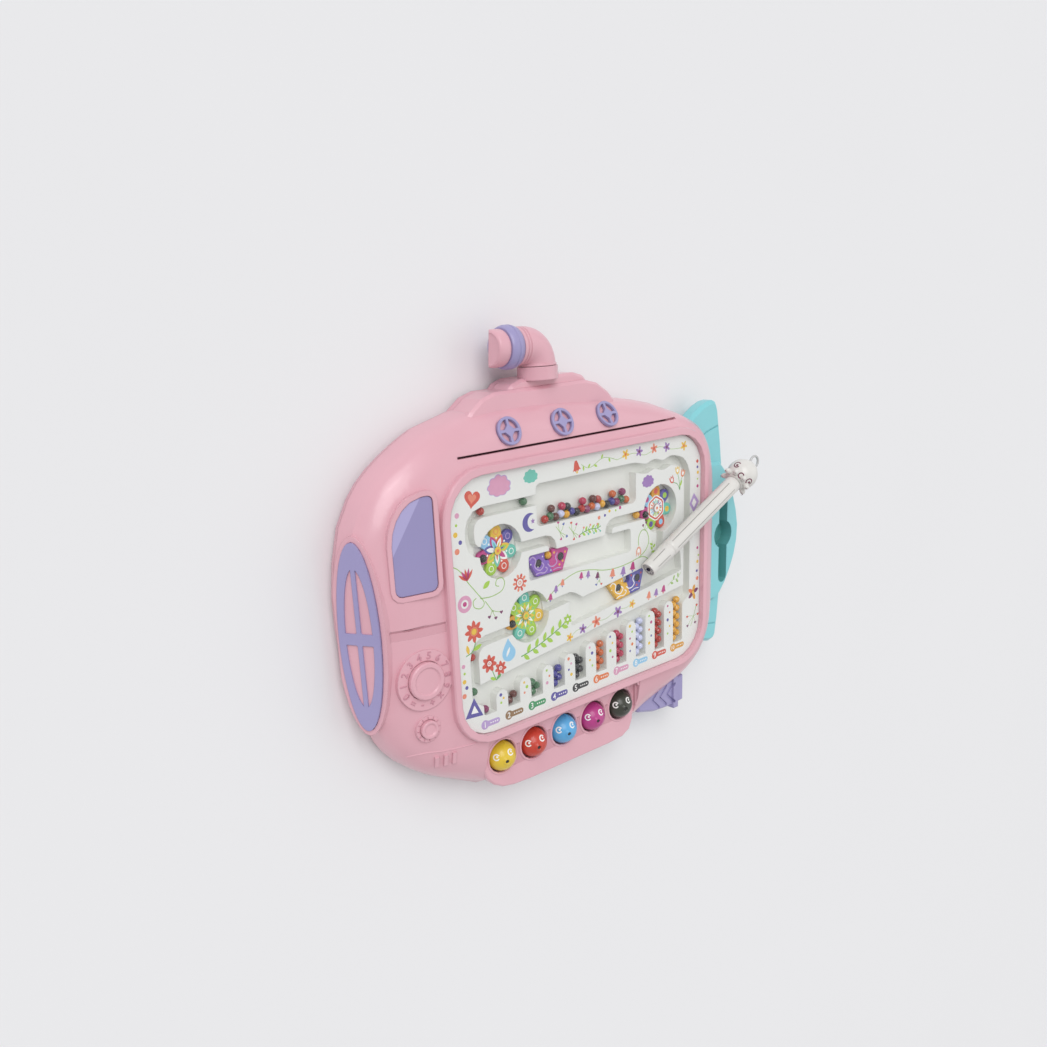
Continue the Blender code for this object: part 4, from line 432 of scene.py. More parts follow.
DRESS = {
    "shell_pink": "front_shell",
    "pink": "dial_knob small_knob periscope_elbow periscope_cap",
    "pink_back": "rear_shell",
    "purple": "thruster nose_window periscope_ring porthole_1 porthole_2 porthole_3",
    "pane": "side_window",
    "tail_teal": "tail_fin",
    "tray": "maze_tray",
    "clear": "clear_cover",
    "ivory": "leg_1 leg_2 leg_3 leg_4 drawing_frame",
    "sheet": "drawing_board",
    "steel": "case_screw_1 case_screw_2 case_screw_3 case_screw_4 wheel_axle_1 wheel_axle_2 wheel_axle_3",
    "magnet": "carrier_magnet_1 carrier_magnet_2 carrier_magnet_3 carrier_magnet_4 pen_magnet",
    "pen_white": "pen_body pen_head",
    "violet_sled": "carrier_1",
    "amber_sled": "carrier_2",
}


def smoothing():
    """A modifier group that shades gentle facets smooth and keeps real edges crisp."""
    group = bpy.data.node_groups.new("soft_facets", "GeometryNodeTree")
    for way in ("INPUT", "OUTPUT"):
        group.interface.new_socket("Geometry", in_out=way, socket_type="NodeSocketGeometry")
    smooth = "GeometryNodeSetShadeSmooth"
    kinds = ("NodeGroupInput", "GeometryNodeMergeByDistance", smooth, smooth, "NodeGroupOutput",
             "GeometryNodeInputMeshEdgeAngle", "FunctionNodeCompare")
    start, weld, faces, edges, end, angle, sharp = [group.nodes.new(kind) for kind in kinds]
    weld.inputs["Distance"].default_value = 0.000002
    edges.domain = "EDGE"
    edges.inputs["Shade Smooth"].default_value = False
    sharp.operation = "GREATER_THAN"
    sharp.inputs[1].default_value = radians(27)
    for source, target in ((start, weld), (weld, faces), (faces, edges), (edges, end)):
        group.links.new(source.outputs[0], target.inputs[0])
    group.links.new(angle.outputs["Unsigned Angle"], sharp.inputs[0])
    group.links.new(sharp.outputs[0], edges.inputs["Selection"])
    return group


soft_facets = smoothing()
for finish_name, names in DRESS.items():
    for name in names.split():
        nodes[name].data.materials.clear()
        nodes[name].data.materials.append(FINISHES[finish_name])
for node in nodes.values():
    node.modifiers.new("soft_facets", "NODES").node_group = soft_facets


# ---------- forms ----------

def shown(name, data):
    """A new object in the scene."""
    made = bpy.data.objects.new(name, data)
    bpy.context.scene.collection.objects.link(made)
    return made


def piece(name, bm, finishes, body, slot, *stands_for, sharp=35):
    """A finished piece that moves with a body and stands for the nodes named."""
    bmesh.ops.recalc_face_normals(bm, faces=bm.faces)
    mesh = bpy.data.meshes.new(name)
    bm.to_mesh(mesh)
    bm.free()
    for finish in finishes:
        mesh.materials.append(FINISHES[finish])
    mesh.shade_smooth()
    mesh.set_sharp_from_angle(angle=radians(sharp))
    made = shown(name, mesh)
    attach(made, body)
    if stands_for:
        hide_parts(*stands_for)
    return made


def skin(bm, rows, finish=0, ring=True, ends=True):
    """A skin through rows of points; ring closes each row, ends caps the first and the last."""
    verts = [[bm.verts.new(point) for point in row] for row in rows]
    count = len(rows[0])
    for low, high in zip(verts, verts[1:]):
        for i in range(count if ring else count - 1):
            j = (i + 1) % count
            bm.faces.new((low[i], low[j], high[j], high[i])).material_index = finish
    if ends:
        bm.faces.new(verts[0]).material_index = finish
        bm.faces.new(verts[-1]).material_index = finish
    return verts


def turned(bm, profile, matrix, finish=0, count=48, ends=True):
    """A body turned about local Z from (radius, height) pairs."""
    rows = [[matrix @ Vector((*at_turn(r, t), z)) for t in round_turns(count)] for r, z in profile]
    skin(bm, rows, finish, ends=ends)


def tube(bm, matrix, stations, finish=0, count=14, ends=True):
    """A tube through stations: a middle, two directions across it and a radius."""
    rows = [[matrix @ (middle + (side * cos(a) + other * sin(a)) * radius) for a in round_turns(count)]
            for middle, side, other, radius in stations]
    skin(bm, rows, finish, ends=ends)


def plate(bm, outline, holes, low, high, matrix, finish=0):
    """A flat body with holes through it, between two heights."""
    work = bmesh.new()
    for line in [outline, *holes]:
        verts = [work.verts.new((x, y, low)) for x, y in line]
        for a, b in zip(verts, verts[1:] + verts[:1]):
            work.edges.new((a, b))
    bmesh.ops.triangle_fill(work, use_beauty=True, use_dissolve=False, edges=work.edges[:])
    made = bmesh.ops.extrude_face_region(work, geom=work.faces[:], use_keep_orig=True)
    tops = [v for v in made["geom"] if isinstance(v, bmesh.types.BMVert)]
    bmesh.ops.translate(work, verts=tops, vec=(0, 0, high - low))
    for face in work.faces:
        face.material_index = finish
    bmesh.ops.transform(work, matrix=matrix, verts=work.verts)
    bmesh.ops.recalc_face_normals(work, faces=work.faces)
    mesh = bpy.data.meshes.new("work")
    work.to_mesh(mesh)
    work.free()
    bm.from_mesh(mesh)
    bpy.data.meshes.remove(mesh)


def circle(x, y, radius, count=24):
    return [at_turn(radius, t, x, y) for t in round_turns(count)]


def oval(half_x, half_y, count=64):
    return [(half_x * cos(t), half_y * sin(t)) for t in round_turns(count)]


def smooth_line(points, steps=6):
    """An open Catmull-Rom line through the points."""
    ends = [points[0], *points, points[-1]]
    line = []
    for p0, p1, p2, p3 in zip(ends, ends[1:], ends[2:], ends[3:]):
        for step in range(steps):
            t = step / steps
            line.append(tuple(0.5 * (2 * b + (c - a) * t + (2 * a - 5 * b + 4 * c - d) * t * t
                                     + (3 * b - a - 3 * c + d) * t ** 3)
                              for a, b, c, d in zip(p0, p1, p2, p3)))
    return line + [tuple(points[-1])]


def ball(bm, centre, radius, finish=0, rng=None, rings=10, count=20):
    """A moulded ball with the faint proud seam of its two halves, turned at random."""
    axis = Vector([rng.uniform(-1, 1) for _ in range(3)]).normalized()
    turn = axis.to_track_quat("Z", "Y").to_matrix().to_4x4()
    seam = radius + 0.05
    profile = [(0.02, -radius)]
    for i in range(1, rings):
        if i == rings // 2:
            profile += [(radius, -0.12), (seam, -0.07), (seam, 0.07), (radius, 0.12)]
        else:
            profile.append(at_turn(radius, pi * (i / rings - 0.5)))
    profile.append((0.02, radius))
    turned(bm, profile, in_mm(centre, turn), finish, count)


# ---------- printing ----------

BELL = [(-0.12, 0.5), (0.12, 0.5), (0.26, 0.2), (0.34, -0.15), (0.5, -0.38), (0.28, -0.34), (0.14, -0.5),
        (0, -0.36), (-0.14, -0.5), (-0.28, -0.34), (-0.5, -0.38), (-0.34, -0.15), (-0.26, 0.2)]
TULIP = [(-0.32, 0.5), (-0.14, 0.22), (0, 0.52), (0.14, 0.22), (0.32, 0.5), (0.34, 0), (0.2, -0.3),
         (0, -0.4), (-0.2, -0.3), (-0.34, 0)]
HEART = [(16 * sin(t) ** 3, 13 * cos(t) - 5 * cos(2 * t) - 2 * cos(3 * t) - cos(4 * t))
         for t in round_turns(32)]
INK_LIFT = 0.03


class Print:
    """Ink shapes on one face, gathered by colour, each layer a hair above the last."""

    def __init__(self, name, body, slot, lay):
        self.name, self.body, self.slot, self.lay = name, body, slot, lay
        self.inks = {}

    def area(self, ink, points, layer=0):
        if ink not in self.inks:
            self.inks[ink] = bmesh.new()
        verts = self.inks[ink].verts
        self.inks[ink].faces.new([verts.new(self.lay(x, y, INK_LIFT * (1 + layer))) for x, y in points])

    def dot(self, ink, x, y, radius, layer=0, count=16):
        self.area(ink, circle(x, y, radius, count), layer)

    def ring(self, ink, x, y, inner, outer, layer=0, start=0, sweep=360, count=28):
        turns = [radians(start + sweep * i / count) for i in range(count + 1)]
        for a, b in zip(turns, turns[1:]):
            corners = ((inner, a), (outer, a), (outer, b), (inner, b))
            self.area(ink, [at_turn(r, t, x, y) for r, t in corners], layer)

    def petal(self, ink, x, y, angle, length, width, layer=0, start=0, blunt=0.8):
        """A leaf or petal that grows from a place in one direction."""
        left = [(start + length * i / 10, width / 2 * sin(pi * i / 10) ** blunt) for i in range(1, 10)]
        right = [(along, -half) for along, half in left]
        outline = [(start, 0), *right, (start + length, 0), *reversed(left)]
        self.area(ink, laid(outline, x, y, 1, angle), layer)

    def stroke(self, ink, points, width=0.5, layer=0):
        line = [Vector(p) for p in smooth_line(points, 6)]
        sides = []
        for point, ahead in zip(line, headings(line)):
            side = Vector((-ahead.y, ahead.x)) * width / 2
            sides.append((point + side, point - side))
        for (a, b), (c, d) in zip(sides, sides[1:]):
            self.area(ink, [a, b, d, c], layer)

    def star(self, inks, x, y, count, turn, length, width, layer=0, start=0, blunt=0.8):
        """Petals all round a place, in inks that take turns."""
        for i in range(count):
            ink = inks[i % len(inks)]
            self.petal(ink, x, y, turn + 360 * i / count, length, width, layer, start, blunt)

    def spots(self, inks, count, turn, reach, radius, layer):
        """Dots all round the middle."""
        for i in range(count):
            self.dot(inks[i % len(inks)], *at_turn(reach, radians(turn + 360 * i / count)), radius, layer)

    def flower(self, ink, x, y, radius, petals, width, middle, turn, layer):
        self.star([ink], x, y, petals, turn, radius, radius * width, layer, blunt=0.5)
        if middle:
            self.dot(middle, x, y, radius * 0.28, layer + 1)

    def cloud(self, ink, x, y, width, rim=None):
        """A puffy cloud drawn as one outline, with an optional rim of another ink."""
        for used, grow, layer in ((rim, 0.035, 0), (ink, 0, 1)):
            outline = []
            for turn in round_turns(120):
                reach = width * (0.40 + 0.075 * abs(sin(4.5 * turn + 0.4)) + grow)
                rise = 0.86 if sin(turn) > 0 else 0.56
                outline.append((x + reach * cos(turn), y - 0.05 * width + reach * rise * sin(turn)))
            if used:
                self.area(used, outline, layer)

    def heart(self, ink, x, y, size, layer=0, turn=0):
        self.area(ink, laid(HEART, x, y, size / 34, turn), layer)

    def bell(self, ink, x, y, size, turn=0, clapper="coral"):
        """A hanging bell flower with a scalloped hem."""
        self.area(ink, laid(BELL, x, y, size, turn), 1)
        self.dot(clapper, *laid([(0, -0.55)], x, y, size, turn)[0], size * 0.11, 2)

    def tulip(self, ink, x, y, size, turn):
        self.area(ink, laid(TULIP, x, y, size, turn), 1)
        self.area("white", laid(TULIP, x, y, size * 0.55, turn), 2)

    def stalk(self, start, end, dip, width=0.4):
        """A short vine that bows on its way."""
        bow = ((start[0] + end[0]) / 2, (start[1] + end[1]) / 2 + dip)
        self.stroke("vine", [start, bow, end], width)

    def sprig(self, ink, points, leaf, count, size, width=0.5, buds=None):
        """A stem with paired leaves, and buds at the ends of short stalks."""
        self.stroke(ink, points, width)
        line = [Vector(p) for p in smooth_line(points, 6)]
        for k in range(count):
            i = int((len(line) - 2) * (k + 1) / (count + 1))
            ahead = line[i + 1] - line[i]
            lean = degrees(atan2(ahead.y, ahead.x))
            side = 50 if k % 2 else -50
            self.petal(leaf, *line[i], lean + side, size, size * 0.45, 1, blunt=0.9)
            if buds:
                tip = at_turn(size, radians(lean - side), *line[i])
                self.stroke(ink, [line[i], tip], width * 0.7)
                self.dot(buds[k % len(buds)], *tip, size * 0.2, 1)

    def numeral(self, ink, text, x, y, size, layer=0):
        mesh = numeral_mesh(text, size)
        for face in mesh.polygons:
            spots = [mesh.vertices[i].co for i in face.vertices]
            self.area(ink, [(x + spot.x, y + spot.y) for spot in spots], layer)
        bpy.data.meshes.remove(mesh)

    def done(self):
        for ink, bm in self.inks.items():
            bmesh.ops.remove_doubles(bm, verts=bm.verts, dist=0.000002)
            made = piece(f"{self.name}_{ink}", bm, [ink], self.body, self.slot)
            made.visible_shadow = False


def headings(line):
    """The direction of a line at each of its points."""
    last = len(line) - 1
    return [(line[min(i + 1, last)] - line[max(i - 1, 0)]).normalized() for i in range(last + 1)]


def numeral_mesh(text, size, depth=0):
    """A number or sum sign in the built-in typeface, centred, flat or raised."""
    curve = bpy.data.curves.new("numeral", "FONT")
    curve.body = text
    curve.size = size
    curve.extrude = depth / 2
    curve.offset = size * 0.012
    curve.resolution_u = 3
    holder = shown("numeral", curve)
    mesh = bpy.data.meshes.new_from_object(holder.evaluated_get(bpy.context.evaluated_depsgraph_get()))
    bpy.data.objects.remove(holder)
    bpy.data.curves.remove(curve)
    across, along = [[v.co[i] for v in mesh.vertices] for i in (0, 1)]
    middle = ((min(across) + max(across)) / 2, (min(along) + max(along)) / 2, 0)
    mesh.transform(Matrix.Translation(middle).inverted())
    return mesh


# ---------- print on the maze plate ----------

def top_border(sheet):
    sheet.heart("red", -112, 81.5, 15, 0, -12)
    sheet.heart("coral", -112, 81.8, 8, 1, -12)
    sheet.cloud("rose", -87, 86.2, 22, "lilac")
    sheet.cloud("teal", -57, 88.3, 15)
    sheet.bell("red", -10.8, 88.8, 8.5, 8, "yellow")
    sheet.sprig("vine", [(-5.7, 89.4), (3.3, 85.6), (18.4, 91), (33.4, 87.2)], "lime", 5, 4, 0.45)
    sheet.stroke("vine", [(33.4, 87.2), (51.5, 89.7), (66, 86.5), (82, 90.5), (98, 86.5), (114.7, 86)], 0.4)
    for x, y, ink, middle in ((43, 90, "yellow", "orange"), (58.7, 90, "violet", "plum"),
                              (76.1, 90, "coral", "red"), (91.5, 89.1, "violet", "plum"),
                              (112.8, 87.2, "yellow", "orange")):
        sheet.flower(ink, x, y, 4.3, 5, 0.5, middle, 90 + x, 1)
    sheet.cloud("violet", 68.9, 64.6, 15)
    for x, y, turn, ink in ((98.1, 61.1, 25, "red"), (105, 67.9, 5, "yellow"), (111.7, 64.6, -15, "orange")):
        bow = (x * 0.35 + 108.1 * 0.65, y * 0.4 + 54.3 * 0.6)
        sheet.stroke("green", [(x, y - 2), bow, (108.1, 51.3)], 0.55)
        sheet.tulip(ink, x, y, 7.5, turn)
    sheet.petal("lime", 107.8, 54, 60, 6, 2.2, 1)


def left_side(sheet):
    sheet.area("indigo", crescent(-59.8, 55.1, 7, 3.6), 0)
    sheet.flower("violet", -56.6, 55.5, 2, 5, 0.5, None, 90, 1)
    sheet.stroke("vine", [(-133.6, 37.4), (-127, 33), (-120.1, 23), (-113, 14), (-106.6, 5.3), (-110, 1.5),
                          (-115.6, 3.5), (-116.5, 8), (-113.5, 10)], 0.75)
    sheet.stroke("vine", [(-110, 9), (-100, 8), (-90, 10), (-86.6, 15), (-88.5, 19.5), (-93.5, 19.5),
                          (-95, 15.5), (-92, 14)], 0.75)
    sheet.stroke("vine", [(-105.5, 5.8), (-101.5, 0), (-98.5, -4)], 0.7)
    for x, y in ((-102.5, -6.5), (-96.5, -8.6), (-91, -5.4)):
        sheet.stalk((-99.5, -2.5), (x, y), -0.6, 0.5)
        sheet.heart("plum", x, y - 0.4, 3.2, 1)
    for k in range(5):
        sheet.petal("magenta" if k % 2 else "red", -120.7, 24.3, 55 + 22 * k, 9.5, 2.3, 1, blunt=1.1)
    sheet.petal("lime", -106.8, 15.4, 35, 8, 4, 0)
    sheet.ring("rose", -124.2, 8, 3.3, 6.3, 0)
    sheet.dot("magenta", -124.2, 8, 1.8, 0)
    sheet.flower("red", -117.5, -14.2, 8.6, 8, 0.42, "yellow", 90, 0)
    sheet.ring("coral", -117.5, -14.2, 2.7, 3.5, 2)
    sheet.stroke("green", [(-116.6, -22), (-119.5, -28.5), (-126, -31)], 0.8)
    sheet.petal("lime", -119.2, -28.2, 20, 8.5, 3.4, 1)
    sheet.petal("yellow", -123.5, -30.2, 100, 7.5, 3, 1)
    sheet.star(["red", "coral"], -71.9, 12.1, 10, 0, 3.4, 2.2, 0, 3.6, 0.6)
    sheet.ring("red", -71.9, 12.1, 2.9, 4, 1)
    sheet.ring("coral", -71.9, 12.1, 0.8, 1.5, 1)


def crescent(x, y, radius, bite):
    """A moon: an outer arc, and an inner arc that meets its horns."""
    horn = radians(52)
    tip_x, tip_y = radius * cos(horn) - bite, radius * sin(horn)
    lean, inner = atan2(tip_y, tip_x), hypot(tip_x, tip_y)
    outside = [at_turn(radius, horn + (tau - 2 * horn) * i / 26, x, y) for i in range(27)]
    inside = [at_turn(inner, tau - lean - (tau - 2 * lean) * i / 20, x + bite, y) for i in range(1, 20)]
    return outside + inside


def middle_band(sheet):
    for spot, buds in (((-29.8, 46.1), ("magenta", "blue")), ((-16.3, 43.4), ("red", "magenta"))):
        x, y = spot
        sheet.stroke("vine", [(x - 4, y + 1), (x, y - 4), (x + 4, y - 9)], 0.5)
        for k, (dx, dy) in enumerate(((-1.5, 3.5), (4, 1.5), (1, -9.5), (7, -8.5))):
            sheet.stroke("vine", [(x, y - 4), (x + dx * 0.6, y - 3 + dy * 0.4), (x + dx, y + dy)], 0.4)
            sheet.heart(buds[k % 2], x + dx, y + dy, 2.6, 1, 20 * k)
    sheet.sprig("green", [(-9, 36), (-3, 37.6), (3, 38.2), (9, 37.6), (14, 38.6)], "lime", 6, 4.4, 0.7,
                ("coral", "teal"))
    sheet.stroke("vine", [(-46, -8.5), (-40.3, -3.6), (-32, 1.6), (-23.8, 5), (-14, 7.2), (-5.7, 7), (5, 5.2),
                          (15.3, 2.6), (26, 1.2), (36.4, 1.2), (47, 2.2), (57.5, 4), (64, 3.4),
                          (69.5, 0.2)], 0.7)
    bells = [(-41.8, -6.2, "magenta"), (-35.8, -1, "violet"), (-28.8, 2.4, "coral"), (-8.6, 3.4, "magenta"),
             (-1, 3, "violet"), (9.3, -0.4, "plum"), (26.4, -2.2, "coral"), (38.8, -3.2, "violet"),
             (50, -1.6, "magenta")]
    for x, y, ink in bells:
        sheet.bell(ink, x, y, 5.4 if x < 20 else 7.2, -8, "blue")
    sheet.stroke("vine", [(9.3, 4), (12, -2.5), (11, -6.5)], 0.4)
    for x, y, ink in ((7.6, -7.6, "blue"), (13.4, -8.2, "red")):
        sheet.stalk((11, -4.5), (x, y), -0.4)
        sheet.heart(ink, x, y, 2.4, 1)
    loop = [(57.5, 4), (66, 9), (69.5, 16), (67, 24), (61.5, 26), (57.5, 21), (57.2, 14)]
    sheet.stroke("vine", loop, 0.8)
    sheet.tulip("peach", 57.2, 9.8, 9, 178)
    for x, y in ((66.5, 31.5), (62.8, 29.8), (70.8, 28.6)):
        sheet.stalk((65, 25.2), (x, y), 0)
        sheet.dot("plum", x, y, 1.1, 1)
    sheet.sprig("vine", [(72, 4), (74.5, 9), (73.5, 15)], "lime", 4, 4.2, 0.35)


def lower_band(sheet):
    drop = [(-86.1, -27.5), (-83.2, -32.5), (-79.6, -38), (-79.9, -42.3), (-83, -45.2), (-87.2, -45.6),
            (-91, -43.2), (-92.3, -39), (-90.6, -34.4)]
    sheet.area("sky", [p[:2] for p in smooth_line(drop + [drop[0]], 5)][:-1], 0)
    sheet.petal("white", -88.4, -41.8, 62, 8, 2.2, 1)
    for x, y, size in ((-105.1, -42.3, 7.2), (-94.6, -48.6, 5.8)):
        sheet.stroke("green", [(x, y), (x * 0.5 - 50, y - 6.5), (-99.4, -57)], 0.7)
        sheet.flower("red", x, y, size, 7, 0.5, "white", 90, 1)
        sheet.ring("red", x, y, size * 0.08, size * 0.16, 3)
    sheet.petal("lime", -99.8, -56.5, 150, 6, 2.6, 1)
    sheet.petal("green", -99.2, -56.5, 35, 6, 2.6, 1)
    stem = [(-74, -45.5), (-64, -43.6), (-54, -40.6), (-44, -37.2), (-34, -33.4), (-27, -29.8)]
    sheet.sprig("green", stem, "lime", 11, 7.6, 0.9)
    sheet.flower("lime", -24.6, -28.4, 4.6, 6, 0.55, "white", 90, 1)
    sheet.stroke("vine", [(-25, -46), (-15, -40), (-5, -41), (5, -38), (18, -38.5), (31, -34), (42, -35),
                          (52, -31)], 0.35)
    for x, y, ink, middle, size in ((-22.9, -43.7, "yellow", "orange", 3.9),
                                    (-8.4, -40.4, "violet", "plum", 4.3),
                                    (6.9, -38.2, "coral", "red", 5.2), (31.9, -36, "violet", "plum", 5.2),
                                    (49, -33.6, "yellow", "orange", 3.9)):
        sheet.flower(ink, x, y, size, 5, 0.5, middle, 90 + x, 1)
    for x, y, ink in ((69.5, -30.9, "coral"), (78.6, -30.6, "violet"), (87.9, -29.6, "magenta")):
        sheet.bell(ink, x, y, 6.4, -8, "coral")
    sheet.sprig("vine", [(93.6, -28.1), (100, -24.5), (105.6, -24.4), (110, -20)], "vine", 4, 4.5, 0.35)


def right_side(sheet):
    sheet.area("lilac", [(126.4, 45.8), (133.2, 37.6), (126.6, 29), (120.6, 37.2)], 0)
    sheet.area("white", [(126.5, 41.5), (129.7, 37.5), (126.6, 33.3), (123.7, 37.3)], 1)
    for turn, ink in ((20, "plum"), (75, "amber"), (150, "orange"), (215, "plum"), (290, "amber")):
        sheet.petal(ink, 126.7, -41.8, turn, 7.2, 3.6, 1, blunt=0.6)
    sheet.dot("yellow", 126.7, -41.8, 1.5, 2)
    sheet.stroke("vine", [(131.5, -53), (128.5, -62), (124, -72)], 0.5)
    for x, y in ((119.2, -62.5), (131.8, -54.5), (133.4, -63.2), (130, -70.1), (119.7, -71)):
        sheet.stalk((127.8, -64), (x, y), 0.6)
        sheet.heart("red" if y > -65 else "plum", x, y, 3, 1)
    sheet.area("indigo", [(-121.4, -64.6), (-113.6, -80.6), (-130.4, -79)], 0)
    sheet.area("white", [(-121.4, -70.6), (-118, -77.2), (-125, -76.4)], 1)


def dots(sheet):
    spots = [(-126.1, 72, "rose", 1.7), (-127.3, 65.4, "lime", 0.9), (-128.5, 58.9, "yellow", 1.7),
             (-124.6, 52.9, "indigo", 1.4), (-127.9, 46.9, "coral", 1.9), (130.3, 72, "red", 1.3),
             (130.6, 67.1, "indigo", 1), (131.2, 62.5, "yellow", 1.2), (130.8, 57, "lime", 0.7),
             (131, 51, "magenta", 1.2), (131, 18, "yellow", 1.2), (131.8, -2.8, "magenta", 1.1),
             (133.3, -9.6, "lime", 0.8), (132.1, -15.1, "yellow", 1.3), (131.5, -23.3, "indigo", 1.1),
             (132.1, -30.1, "coral", 1.5), (-129.1, -38, "rose", 1.4), (-128.5, -43.6, "lime", 0.9),
             (-129.1, -49.8, "yellow", 1.5), (-127.3, -54.8, "indigo", 1.3), (-129.9, -60.8, "coral", 1.7),
             (12.3, 45.4, "coral", 1.3), (18.8, 46.1, "indigo", 1), (24, 48.6, "yellow", 1.1),
             (31, 47.9, "lime", 0.8), (36, 49.2, "magenta", 1.2)]
    for x, y, ink, radius in spots:
        sheet.dot(ink, x, y, radius * 1.15)
    inks = ("indigo", "yellow", "lime", "coral", "rose", "indigo", "yellow", "lime", "magenta", "orange")
    for i in range(9):
        x = FIRST_SLOT[0] + SLOT_PITCH * (i + 0.5)
        top = -69.5 + 2.963 * i
        count = 3 + i // 3
        for k in range(count):
            y = top - 0.5 - k * min(6.2, (top + 79) / count)
            sheet.dot(inks[(i + k) % 10], x + (1.4 if k % 2 else -1.2), y, 1.0 + 0.4 * ((i + 2 * k) % 3 == 0))


def number_tags(sheet):
    inks = ("lilac", "brown", "grass", "indigo", "black", "orange", "rose", "sky", "red", "amber")
    for i, ink in enumerate(inks):
        x = FIRST_SLOT[0] + SLOT_PITCH * i
        y = -89.0 + 0.35 * i
        sheet.area(ink, capsule(x, y, 6.3, 2.3))
        sheet.dot(ink, x - 6, y, 3.7, 1, 24)
        sheet.numeral("white", str(i + 1), x - 6, y, 6.4 if i < 9 else 4.8, 2)
        for k in range(4):
            sheet.dot("white", x - 0.4 + 2.2 * k, y, 0.62, 1, 10)


def capsule(x, y, reach, radius):
    """A bar with round ends."""
    return [at_turn(radius, radians(start + 180 * i / 8), x + side * reach, y)
            for side, start in ((1, -90), (-1, 90)) for i in range(9)]


def board_print():
    sheet = Print("maze_print", "board", "white_maze", lambda x, y, lift: mm(x, y, TRAY_TOP + lift))
    for draw in (top_border, left_side, middle_band, lower_band, right_side, dots, number_tags):
        draw(sheet)
    sheet.done()


# ---------- beads ----------

def bead(bm, place, rng, finish=0, height=BEAD_Z):
    ball(bm, mm(*place, height), BEAD_RADIUS, finish, rng)


def slot_beads():
    rng = random.Random(7)
    for index, name in enumerate(BEADS):
        bm = bmesh.new()
        for i in range(index + 1):
            x = FIRST_SLOT[0] + SLOT_PITCH * index + (BEAD_SIDE if i % 2 else -BEAD_SIDE)
            bead(bm, (x, FIRST_SLOT[1] + BEAD_FOOT + BEAD_RISE * i), rng)
        node = f"counting_beads_{index + 1:02d}"
        piece(f"glossy_{node}", bm, [name], f"count_{index + 1}", name, node, sharp=60)


def heap_beads():
    rng = random.Random(11)
    lower = [(-41.5 + 5.5 * i, 53.6 + 1.3 * (i % 2)) for i in range(17)]
    upper = [(lower[i][0] + 1.375, lower[i][1] + 5.6) for i in (1, 3, 4, 7, 9, 10, 13, 15)]
    order = [8, 2, 1, 7, 9, 3, 4, 8, 0, 5, 7, 9, 4, 3, 0, 2, 5, 1, 6, 4, 6, 1, 8, 5, 0]
    bm = bmesh.new()
    for place, k in zip(lower + upper, order):
        bead(bm, place, rng, k)
    piece("glossy_basin_beads", bm, list(BEADS), "basin_heap", "bead_plum", "basin_beads", sharp=60)


def single_bead(name, place, colour, body, *stands_for, height=BEAD_Z):
    bm = bmesh.new()
    bead(bm, place, random.Random(3), 0, height)
    piece(name, bm, [colour], body, colour, *stands_for, sharp=60)


def all_beads():
    slot_beads()
    heap_beads()
    single_bead("glossy_channel_bead_1", share(-0.760, 0.727), "bead_red", "top_bead", "channel_bead_1")
    single_bead("glossy_channel_bead_2", share(-0.878, -0.355), "bead_red", "side_bead", "channel_bead_2")
    single_bead("channel_bead_3", (-62, 70.5), "bead_green", "board")
    single_bead("channel_bead_4", (58.5, 38.7), "bead_amber", "board")
    single_bead("channel_bead_5", (-118.5, -61.5), "bead_green", "board")
    centre = middle_of("carrier_bead")
    place = (centre - MIDDLE).xy / MM
    single_bead("glossy_carrier_bead", place, "bead_amber", "first_carrier", "carrier_bead",
                height=centre.z / MM)


# ---------- flower wheels ----------

WHEEL_SLOTS = ("yellow_wheel", "teal_wheel", "crimson_wheel")
WHEEL_INKS = [
    ["yellow", "sky", "magenta", "lime", "red", "teal", "indigo"],
    ["teal", "lime", "amber", "teal", "lime", "yellow", "lime"],
    ["amber", "sky", "magenta", "lime", "red", "teal", "indigo"],
]
# Ring prints round the lobes; on the first wheel the plum ring on the bead's lobe is a painted shadow round
# the bead.
RING_INKS_AND_BEAD_SHADOW = [
    ["orange", "white", "plum", "white", "white", "white", "lilac"],
    ["white", "white", "orange", "white", "white", "white", "white"],
    ["red", "magenta", "plum", "indigo", "sky", "yellow", "lime"],
]
LOBE_RING, LOBE_RADIUS, LOBE_PITCH = 14, 5, tau / 7
WHEEL_TOP, WHEEL_BEAD_Z, BOSS_TOP = 41.22, 41.6, 42.5


def lobe_reach(angle):
    """Radius of the flower's outline: seven round lobes about the middle."""
    lean = abs((angle - pi / 2 + LOBE_PITCH / 2) % LOBE_PITCH - LOBE_PITCH / 2)
    side = LOBE_RING * sin(lean)
    if side >= LOBE_RADIUS or LOBE_RADIUS / tan(max(lean, 1e-6)) < LOBE_RING:
        return LOBE_RADIUS / sin(lean)
    return LOBE_RING * cos(lean) + sqrt(LOBE_RADIUS ** 2 - side ** 2)


